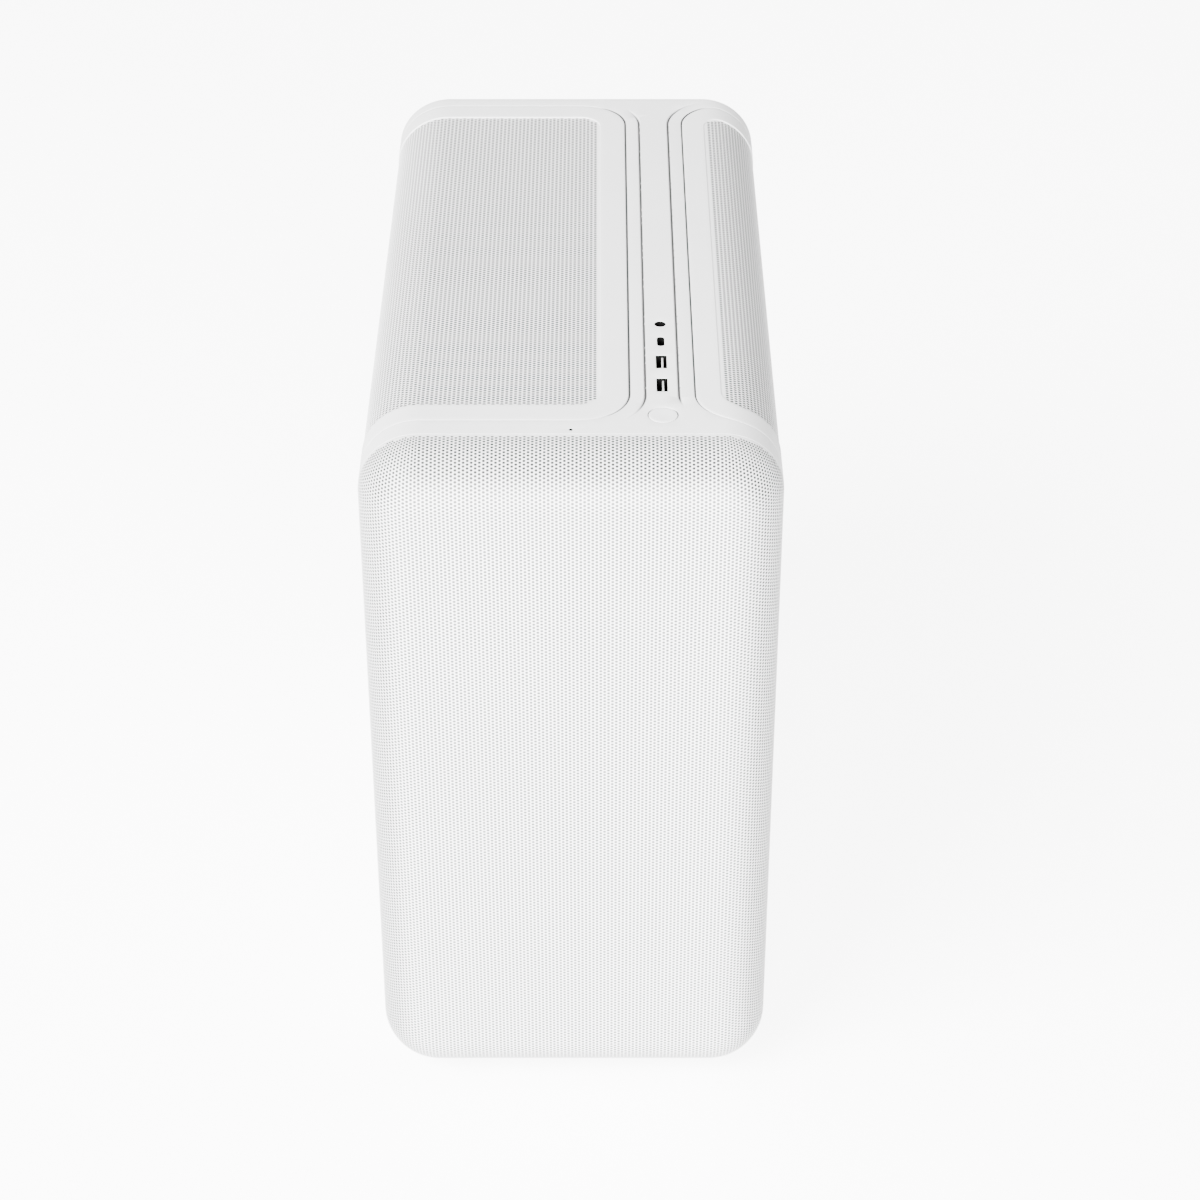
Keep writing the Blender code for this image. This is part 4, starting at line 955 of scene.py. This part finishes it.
# %% [markdown]
# ## Giving every piece its finish
# The record says which material slot each CAD node has. A table from slot to finish covers all of them,
# and the new pieces name the same slots.

# %% Assign the finishes
FINISHES = {"white_plastic": white_plastic, "white_mesh": cover_finish, "button_plastic": button_plastic,
            "black_plastic": black_plastic, "fan_plastic": fan_plastic, "tongue_plastic": tongue_plastic,
            "galvanised_steel": galvanised, "dark_steel": dark_steel, "plated_steel": plated,
            "fin_aluminium": aluminium, "gold_brass": brass, "circuit_board": circuit_board,
            "foot_rubber": rubber}


def paint(piece, material):
    """Makes a material the only one on a piece."""
    piece.data.materials.clear()
    piece.data.materials.append(material)


for part in frame["record"]["subparts"]:
    node = frame["nodes"][part["node"]]
    for place in node.material_slots:
        place.material = FINISHES[part["material_slot"]]

paint(front_cover, cover_finish)
for word in ("left", "right"):
    paint(bpy.data.objects[word + "_insert_sheet"], insert_finish)
for piece in [*panels, outer_frame]:
    paint(piece, white_plastic)
paint(button, button_plastic)
# The collars get the flat black, partly as the socket modules' black rims and partly as painted shade inside the
# mouths.
for piece in collars:
    paint(piece, painted_socket_shade)
# Painted shade: the nickel socket shells get the same flat black, for the shade inside their mouths.
for word in ("usb_a_shell_front", "usb_a_shell_rear", "usb_c_socket", "audio_jack"):
    paint(frame["nodes"][word], painted_socket_shade)
for piece in tongues:
    paint(piece, tongue_plastic)

# %% [markdown]
# ## Small helpers for the fittings
# The fittings inside and at the back are many small pieces of a few kinds: tubes, turned pieces, boxes
# with broken edges, and flat perforated plates. One call paints a piece, names its slot and seats it on its
# body. Pieces of one kind on one body are merged into one object.

# %% Settle, merge and tube
def settle(piece, body, slot):
    """Gives a piece its finish and its material slot, and makes it ride on a body."""
    paint(piece, FINISHES[slot])
    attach(piece, body)
    return piece


def merge(name, pieces):
    """Several meshes as one object."""
    bm = bmesh.new()
    for piece in pieces:
        bm.from_mesh(piece.data)
        bpy.data.objects.remove(piece, do_unlink=True)
    return piece_from(bm, name)


def tube(name, path, radius, sides=10, closed=False):
    """A round tube along a path of points."""
    path = [Vector(point) for point in path]
    count = len(path)
    rows = []
    side = None
    for index, point in enumerate(path):
        ahead = path[(index + 1) % count] if closed or index + 1 < count else point
        behind = path[index - 1] if closed or index else point
        along = (ahead - behind).normalized()
        if side is None:
            side = along.orthogonal().normalized()
        side = (side - along * side.dot(along)).normalized()
        other = along.cross(side)
        rows += [point + radius * (math.cos(a) * side + math.sin(a) * other)
                 for a in [2 * math.pi * k / sides for k in range(sides)]]
    faces = joined_loops(sides, count, closed)
    if not closed:
        faces += [tuple(range(sides)), tuple((count - 1) * sides + k for k in range(sides))]
    piece = make_piece(name, rows, faces, 50)
    face_outwards(piece)
    return piece


def block(middle, size, bevel):
    """A bevelled box about a point, with its sizes and its bevel in millimetres."""
    middle, half = Vector(middle), Vector(size) * MM / 2
    return bevelled_box("block", middle - half, middle + half, bevel * MM)


def flat_plate(towards, level):
    """A lay function for perforated sheets: a flat plate that faces to the rear or downwards."""
    def lay(a, b, depth):
        depth = depth + 0 * a
        if towards == "rear":
            return np.stack([-a, level - depth, b], axis=-1)
        return np.stack([a, -b, level + depth], axis=-1)
    return lay


# %% [markdown]
# ## The back: guard, screws and vent
# The rear wall carries the fan's wire guard, a raised perforated vent plate and the screws that hold the
# fan, the cards and the supply. A screw is turned from one profile with a socket in its head. The guard is
# bent wire: four rings on four arms that end at the fan's screws.

# %% Screws and fan guard
WALL_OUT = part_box("rear_wall")[1][1]
(fan_x0, _, fan_z0), (fan_x1, _, fan_z1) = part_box("rear_fan_frame")
FAN_X, FAN_Z, FAN_SIDE = (fan_x0 + fan_x1) / 2, (fan_z0 + fan_z1) / 2, fan_x1 - fan_x0
HEAD = [(3.2, 0.0), (3.2, 1.1), (2.9, 1.6), (2.3, 1.8), (1.5, 1.8), (1.4, 0.9), (0.2, 0.8)]


def screw(centre, axis=1, size=1.0):
    """A screw head with a socket, standing on a surface."""
    profile = [(radius * size * MM, height * size * MM) for radius, height in HEAD]
    return turned("screw", profile, centre, axis, 18)


hole_step = FAN_SIDE * 0.448
fan_corners = [(FAN_X + dx * hole_step, FAN_Z + dz * hole_step) for dx in (-1, 1) for dz in (-1, 1)]
supply_low, supply_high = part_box("power_supply")
slot_nodes = ("graphics_bracket", "slot_cover", "radio_card")
slot_boxes = [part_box(node) for node in slot_nodes]
slot_screws = [(low[0] - 6 * MM, (low[2] + high[2]) / 2) for low, high in slot_boxes]
supply_screws = [(x, z) for x in (supply_low[0] - 4 * MM, supply_high[0] + 4 * MM)
                 for z in (supply_low[2] + 12 * MM, supply_high[2] - 10 * MM)]
rear_screws = merge("rear_screws", [screw((x, WALL_OUT + 0.05 * MM, z)) for x, z in
                                    fan_corners + slot_screws + supply_screws])
settle(rear_screws, "case", "plated_steel")

GUARD_WIRE = 0.75 * MM
guard_y = WALL_OUT + 2.6 * MM
wires = []
for share in (0.14, 0.25, 0.36, 0.465):
    ring, _ = circle((FAN_X, FAN_Z), share * FAN_SIDE, 56)
    wires.append(tube("wire", [(x, guard_y, z) for x, z in ring], GUARD_WIRE, 8, True))
behind = guard_y - 1.3 * MM
for x, z in fan_corners:
    arm = [(FAN_X + share * (x - FAN_X), y, FAN_Z + share * (z - FAN_Z))
           for share, y in ((0.2, behind), (0.86, behind), (0.93, WALL_OUT + 0.8 * MM))]
    wires.append(tube("wire", arm, GUARD_WIRE, 8))
settle(merge("rear_fan_guard", wires), "case", "plated_steel")

VENT_PITCH, VENT_RAISE, VENT_SINK, VENT_SHEET = 4.2 * MM, 1.0 * MM, 0.7 * MM, 0.95 * MM


def rear_vent(name, low, high, radius, level, slot, material):
    """A raised perforated plate on a face that looks to the rear."""
    plate = perforated_sheet(name, low, high, radius, VENT_PITCH, flat_plate("rear", level + VENT_RAISE), 0.0,
                             VENT_SINK, VENT_SHEET, 10 * MM)
    settle(plate, "case", slot)
    paint(plate, material)


rear_vent("rear_vent_plate", (-24 * MM, 208 * MM), (80 * MM, 254 * MM), 6 * MM, WALL_OUT,
          "galvanised_steel", vent_finish)
rear_vent("supply_grille", (-2 * MM, supply_low[2] + 8 * MM), (72 * MM, supply_high[2] - 8 * MM), 5 * MM,
          supply_high[1], "dark_steel", grille_finish)

# %% [markdown]
# ## Rear sockets
# Each window in the socket plate gets a folded shell with a rounded rim. The lowest holds a network socket
# with eight gilded contacts, and the others hold pairs of USB sockets, each with its pale tongue.

# %% Rear socket shells
stack_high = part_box("rear_port_stack")[1]
plate_low, plate_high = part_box("rear_port_plate")
PORT_FACE = plate_high[1]
PORT_ROOM, PORT_COUNT, PORT_HALF = 11.7 * MM, 5, (6.5 * MM, 7 * MM)
port_pitch = (plate_high[2] - plate_low[2] - 2 * PORT_ROOM) / PORT_COUNT
port_x = stack_high[0] + 0.3 * MM - 12.5 * MM


def shell_rim(x, z):
    """The rolled rim of a socket's shell, round a window."""
    low, high = (-x - PORT_HALF[0], z - PORT_HALF[1]), (-x + PORT_HALF[0], z + PORT_HALF[1])
    loop, away = outline(low, high, 1 * MM, (3, 3), 4)
    rows = [(-0.05, -6.0), (-0.05, 0.9), (-0.25, 1.2), (-0.55, 1.2), (-0.8, 0.9), (-0.8, -6.0)]
    return lofted("shell", [(loop + offset * MM * away, -height * MM) for offset, height in rows],
                  flat_plate("rear", PORT_FACE))


rims, tips = [], []
for index in range(PORT_COUNT):
    z = plate_low[2] + PORT_ROOM + (index + 0.5) * port_pitch
    rims.append(shell_rim(port_x, z))
    if index == 0:
        contact_spots = [(port_x + (k - 3.5) * 1.1 * MM, PORT_FACE - 4 * MM, z + 2.8 * MM) for k in range(8)]
        contacts = [block(spot, (0.5, 6, 0.6), 0.1) for spot in contact_spots]
        continue
    rims.append(block((port_x, PORT_FACE - 2.65 * MM, z), (11.2, 6.7, 1.4), 0.2))
    for shift in (-3.05, 3.15):
        tips.append(block((port_x, PORT_FACE - 3.9 * MM, z + shift * MM), (10, 6.2, 1.1), 0.2))
settle(merge("rear_socket_shells", rims), "case", "plated_steel")
settle(merge("rear_socket_tongues", tips), "case", "tongue_plastic")
settle(merge("network_contacts", contacts), "case", "gold_brass")

# %% [markdown]
# ## Fan rotors
# The CAD rotor has flat paddles, which is enough for its mass and its collision. A real rotor has a domed
# hub and swept, twisted blades. Each blade is a grid of points in radius and chord: the pitch flattens
# towards the tip, the chord is swept forward, and a slight camber bends it. Two such grids a little apart
# make a closed blade.

# %% Swept rotors
BLADES = 9


def blade_faces(rows, columns, base):
    """Faces of a closed thin grid of two layers."""
    def at(layer, i, j):
        return base + (layer * rows + i) * columns + j
    faces = []
    for i in range(rows - 1):
        for j in range(columns - 1):
            faces.append((at(0, i, j), at(0, i + 1, j), at(0, i + 1, j + 1), at(0, i, j + 1)))
            faces.append((at(1, i, j), at(1, i, j + 1), at(1, i + 1, j + 1), at(1, i + 1, j)))
    for j in range(columns - 1):
        faces.append((at(0, 0, j), at(0, 0, j + 1), at(1, 0, j + 1), at(1, 0, j)))
        faces.append((at(0, rows - 1, j), at(1, rows - 1, j), at(1, rows - 1, j + 1), at(0, rows - 1, j + 1)))
    for i in range(rows - 1):
        faces.append((at(0, i, 0), at(1, i, 0), at(1, i + 1, 0), at(0, i + 1, 0)))
        last = columns - 1
        faces.append((at(0, i, last), at(0, i + 1, last), at(1, i + 1, last), at(1, i, last)))
    return faces


def swept_rotor(node, axis, hub_share=0.36):
    """A rotor with a domed hub and swept blades, in the room of the CAD rotor."""
    low, high = np.array(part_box(node)[0]), np.array(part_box(node)[1])
    centre = np.array(frame_pivot(node))
    depth = high[axis] - low[axis]
    tip = rotor_radius(node, axis)
    hub = hub_share * tip
    middle = (low[axis] + high[axis]) / 2
    rows, columns = 7, 6
    points, faces = [], []
    for blade in range(BLADES):
        for layer in (-0.5, 0.5):
            for i in range(rows):
                share = i / (rows - 1)
                radius = 0.9 * hub + (tip - 0.9 * hub) * share
                pitch = math.radians(48 - 20 * share)
                half_height = (0.40 - 0.06 * share) * depth
                half_chord = min(half_height / math.tan(pitch), 0.92 * math.pi * radius / BLADES)
                for j in range(columns):
                    along = 2 * j / (columns - 1) - 1
                    angle = 2 * math.pi * blade / BLADES + 0.35 * share ** 1.6 + along * half_chord / radius
                    height = along * half_height + 0.06 * depth * (1 - along * along) + layer * 1.1 * MM
                    points.append((radius * math.cos(angle), radius * math.sin(angle), height))
        faces += blade_faces(rows, columns, len(points) - 2 * rows * columns)
    order = {0: (2, 0, 1), 1: (1, 2, 0), 2: (0, 1, 2)}[axis]
    base = centre.copy()
    base[axis] = middle
    blades = make_piece("blades", np.array(points)[:, order] + base, faces, 50)
    face_outwards(blades)
    half = 0.47 * depth
    dished = half - 0.5 * MM
    profile = [(0.5 * MM, -half), (hub - 1.5 * MM, -half), (hub - 0.4 * MM, -dished), (hub, -half + 1.6 * MM)]
    profile += [(hub, half - 1 * MM), (hub - 1 * MM, half), (0.55 * hub, half)]
    profile += [(0.5 * hub, dished), (0.5 * MM, dished)]
    rotor = merge(node.replace("_rotor", "") + "_blades", [blades, turned("hub", profile, base, axis, 40)])
    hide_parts(node)
    return settle(rotor, node.replace("_rotor", ""), "fan_plastic")


def frame_pivot(node):
    """The point on its joint's axis about which a rotor turns."""
    joint = next(joint for joint in frame["joints"] if joint["child"] == node.replace("_rotor", ""))
    return joint["pos_m"]


def rotor_radius(node, axis):
    """Largest distance of a rotor's points from its axis."""
    places = np.array([vertex.co for vertex in frame["nodes"][node].data.vertices])
    places = places - np.array(frame_pivot(node))
    places[:, axis] = 0
    return float(np.linalg.norm(places, axis=1).max())


for name in [node for node in frame["nodes"] if node.endswith("_rotor")]:
    swept_rotor(name, 1 if name.startswith(("front", "rear", "cpu")) else 2)
print("rotors done")

# %% [markdown]
# ## The processor's cooler
# A tower cooler is a stack of thin pressed plates on bent heat pipes that rise from a block on the board.
# The CAD keeps a few thick fins. Here each plate is sheet metal, the pipes pass through all of them, and
# their rounded ends stand out of the last plate.

# %% Cooler fins and heat pipes
cooler_low, cooler_high = (Vector(corner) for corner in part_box("cpu_cooler"))
COOLER_END, FIN_PITCH, FIN_SHEET, FIN_COUNT = 38 * MM, 2.3 * MM, 0.45 * MM, 45
cooler_middle = (cooler_low + cooler_high) / 2
board_face = cooler_high.x
fins = []
for index in range(FIN_COUNT):
    x = cooler_low.x + 1 * MM + index * FIN_PITCH
    step = 1.2 * MM * (index % 2)
    fins.append(bevelled_box("fin", (x, cooler_low.y + step, cooler_low.z),
                             (x + FIN_SHEET, cooler_high.y - step, cooler_high.z), 0.1 * MM))
for z_share in (-0.36, -0.22, 0.22, 0.36):
    z = cooler_middle.z + z_share * (cooler_high.z - cooler_low.z)
    near = cooler_middle.z + 0.3 * z_share * (cooler_high.z - cooler_low.z)
    y = cooler_middle.y + (6 * MM if abs(z_share) > 0.3 else -6 * MM)
    bends = [(board_face - 6 * MM, y, near), (board_face - 14 * MM, y, near),
             (board_face - 22 * MM, y, (near + z) / 2), (board_face - 30 * MM, y, z), (COOLER_END, y, z),
             (cooler_low.x + 1.5 * MM, y, z), (cooler_low.x, y, z)]
    fins.append(tube("pipe", bends, 3 * MM, 14))
fins.append(block((board_face - 6 * MM, cooler_middle.y, cooler_middle.z), (12, 40, 40), 1))
cooler = merge("tower_cooler", fins)
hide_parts("cpu_cooler")
settle(cooler, "case", "fin_aluminium")

# %% [markdown]
# ## Parts on the boards
# The main board carries heat sinks beside the cooler and over the chipset, the slots that hold the cards,
# rows of capacitors and many small chips. A capacitor is turned: a can with a rolled rim and a crimped
# foot. The graphics card gets the stiff plate that covers its back.

# %% Main board parts
BOARD_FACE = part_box("motherboard")[0][0]


def on_board(y, z, size_y, size_z, height, bevel=0.5):
    """A block that stands on the main board's face, by its middle and sizes, all in millimetres."""
    middle_x = BOARD_FACE - (height + 0.05) / 2 * MM
    return block((middle_x, y * MM, z * MM), (height - 0.05, size_y, size_z), bevel)


sinks = [on_board(157, 300, 20, 92, 9, 1)]
sinks += [on_board(149 + 4 * k, 300, 1.6, 90, 20, 0.3) for k in range(5)]
sinks += [on_board(92, 358.5, 96, 11, 9, 1)]
sinks += [on_board(92, 355 + 3.5 * k, 94, 1.4, 18, 0.3) for k in range(3)]
sinks += [on_board(14, 146, 42, 34, 5, 1.2)]
sinks += [on_board(-2 + 5.3 * k, 146, 2, 30, 7, 0.4) for k in range(7)]
settle(merge("board_heat_sinks", sinks), "case", "fin_aluminium")

card_slots = [(140, 196.8, 92, 7.4, 11), (166, 130.5, 26, 7.4, 11), (130, 150, 60, 7.4, 8)]
latches = [(y, z, 6, 5, 10) for y in (4.5, 14.5, -2.5) for z in (222.5, 362)]
spare_memory_slot = (-2.5, 292, 5.5, 134, 7)
slots = [on_board(*block) for block in (*card_slots, *latches, spare_memory_slot)]
chips = [(60, 247, 12, 9), (84, 246, 7, 7), (40, 205, 9, 9), (46, 236, 5, 12), (48, 262, 8, 6),
         (50, 330, 6, 14), (-32, 350, 10, 10), (-30, 215, 12, 12), (-36, 170, 7, 14), (60, 146, 10, 10),
         (186, 150, 8, 8), (100, 130, 14, 6)]
slots += [on_board(*chip, 1.4, 0.2) for chip in chips]
settle(merge("board_slots_and_chips", slots), "case", "black_plastic")

CAN = [(3.1, -0.3), (3.1, 0.9), (2.8, 1.3), (3.1, 1.8), (3.1, 8.4), (2.7, 8.9), (2.3, 8.7), (0.3, 8.7)]
can_spots = [(y, 250) for y in range(96, 144, 8)] + [(143.5, z) for z in range(262, 352, 10)]
can_spots += [(-20, z) for z in range(232, 330, 12)] + [(y, 172) for y in (-44, -34, 80, 90)]
cans = [turned("can", [(radius * MM, -height * MM) for radius, height in CAN],
               (BOARD_FACE, y * MM, z * MM), 0, 20) for y, z in can_spots]
settle(merge("board_capacitors", cans), "case", "fin_aluminium")

card_low, card_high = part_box("graphics_board")
plate_top = card_high[2] + 1.9 * MM
back_plate = [bevelled_box("plate", (card_low[0] + 1 * MM, card_low[1] + 1 * MM, card_high[2] + 0.8 * MM),
                           (card_high[0] - 12 * MM, card_high[1] - 12 * MM, plate_top), 0.4 * MM)]
back_plate += [bevelled_box("rib", (card_low[0] + 10 * MM, (6 + 9 * k) * MM, card_high[2] + 1.8 * MM),
                            (card_high[0] - 40 * MM, (9 + 9 * k) * MM, card_high[2] + 2.5 * MM), 0.3 * MM)
               for k in range(18)]
settle(merge("graphics_back_plate", back_plate), "case", "dark_steel")
card_screws = [screw((x * MM, y * MM, plate_top), 2, 0.7) for x in (-32, 45) for y in (2, 60, 120, 176)]
settle(merge("graphics_screws", card_screws), "case", "plated_steel")

# %% [markdown]
# ## Display sockets, filter mesh and feet
# The card's bracket carries four display sockets with rolled rims and dark mouths, and vent slots beside
# them. The dust filter's window is closed by a fine mesh, and each foot is turned, with a domed tread.

# %% Bracket, filter and feet
bracket_low, bracket_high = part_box("graphics_bracket")
display_rims, display_mouths = [], []
bracket_face = bracket_high[1]
display_z = bracket_low[2] + 10 * MM
half_x, half_z = 8.2, 2.9
for k in range(4):
    x = 52 - 21 * k
    mouth = (x * MM, bracket_face + 0.2 * MM, display_z)
    # Each mouth is a flat black block: partly the socket's black insert, partly painted shade in its recess.
    display_mouths.append(block(mouth, (2 * half_x, 0.6, 2 * half_z), 0.2))
    loop, _ = outline((x - half_x, -half_z), (x + half_x, half_z), 1.4, (4, 2), 4)
    path = [(px * MM, bracket_face + 0.5 * MM, display_z + pz * MM) for px, pz in loop]
    display_rims.append(tube("rim", path, 0.6 * MM, 8, True))
    blade = (x * MM, bracket_face + 0.525 * MM, display_z - 0.1 * MM)
    display_rims.append(block(blade, (1.4 * half_x, 0.25, 0.8), 0.1))
settle(merge("display_socket_rims", display_rims), "case", "plated_steel")
settle(merge("display_socket_mouths", display_mouths), "case", "black_plastic")
# The vent slots are thin black strips laid on the bracket's face: painted shade where the openings are.
slot_z = bracket_low[2] + 26.5 * MM
slots = [block(((x + 1.5) * MM, bracket_face - 0.01 * MM, slot_z), (3, 0.18, 13), 0.05)
         for x in range(-34, 62, 7)]
settle(merge("bracket_vent_slots", slots), "case", "black_plastic")

filter_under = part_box("dust_filter")[0][2] - 0.4 * MM
filter_mesh = perforated_sheet("filter_mesh", (-52 * MM, -186 * MM), (52 * MM, -72 * MM), 3 * MM, 2.2 * MM,
                               flat_plate("down", filter_under), 0.0, 0.3 * MM, 0.7 * MM, 12 * MM)
settle(filter_mesh, "filter", "black_plastic")
paint(filter_mesh, grille_finish)

TREAD = [(8.4, 3.7), (8.9, 3.0), (9.0, 1.2), (8.6, 0.4), (7.6, 0.0), (5.4, 0.0), (5.0, 0.5), (0.4, 0.5)]
for node in [node for node in frame["nodes"] if node.startswith("foot_")]:
    low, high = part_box(node)
    foot = turned(node + "_pad", [(radius * MM, height * MM) for radius, height in TREAD],
                  ((low[0] + high[0]) / 2, (low[1] + high[1]) / 2, low[2]), 2, 40)
    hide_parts(node)
    settle(foot, "case", "foot_rubber")

# %% [markdown]
# ## Floor, light and camera
# The computer stands on a seamless pale floor under soft light, the way a catalogue shows it. A large
# panel of light hangs to the upper left in front, a lower one faces the cover, and an even world lifts the
# shadows. The floor and the world glow only where the camera sees them directly, so the backdrop is almost
# white without washing out the computer. The camera looks straight at the front from well above.

# %% Stage
AROUND, SEEN, FLOOR_GLOW = 1.12, 9.3, 6.5
AIM = (0, 0, 0.2)
bpy.ops.mesh.primitive_plane_add(size=160)
floor = bpy.context.object
floor.name = "floor"
floor_finish, tree, shader, parts = finish("studio floor", (0.88, 0.88, 0.88), (0.875, 0.876, 0.878), 0.9,
                                           grain=60.0, bump=0.02)
seen = add_node(tree, "ShaderNodeLightPath").outputs["Is Camera Ray"]
shader.inputs["Emission Color"].default_value = (1.0, 1.0, 1.0, 1.0)
tree.links.new(remap(tree, seen, 0.0, 1.0, 0.0, FLOOR_GLOW), shader.inputs["Emission Strength"])
paint(floor, floor_finish)

world = bpy.data.worlds.new("studio")
bpy.context.scene.world = world
world.use_nodes = True
world.node_tree.nodes["Background"].inputs["Color"].default_value = (1.0, 1.0, 1.0, 1.0)
backdrop = world.node_tree
straight = add_node(backdrop, "ShaderNodeLightPath").outputs["Is Camera Ray"]
brightness = remap(backdrop, straight, 0.0, 1.0, AROUND, SEEN)
backdrop.links.new(brightness, backdrop.nodes["Background"].inputs["Strength"])


def area_light(name, place, size, power):
    """A square soft light that looks at the computer."""
    light = bpy.data.lights.new(name, "AREA")
    light.size = size
    light.energy = power
    lamp = link_object(name, light)
    lamp.location = place
    lamp.rotation_euler = (Vector(AIM) - Vector(place)).to_track_quat("-Z", "Y").to_euler()


area_light("key light", (-2.0, -1.9, 2.4), 2.2, 655)
area_light("front light", (0.3, -3.6, 0.8), 2.0, 620)

# %% Camera
CAMERA_PITCH = math.radians(34.2)
CAMERA_PLACE = (0.014, -1.405, 1.135)
camera_data = bpy.data.cameras.new("camera")
camera_data.lens = 90
camera_data.sensor_width = 36
camera = link_object("camera", camera_data)
camera.location = CAMERA_PLACE
camera.rotation_euler = (math.pi / 2 - CAMERA_PITCH, 0, 0)
bpy.context.scene.camera = camera
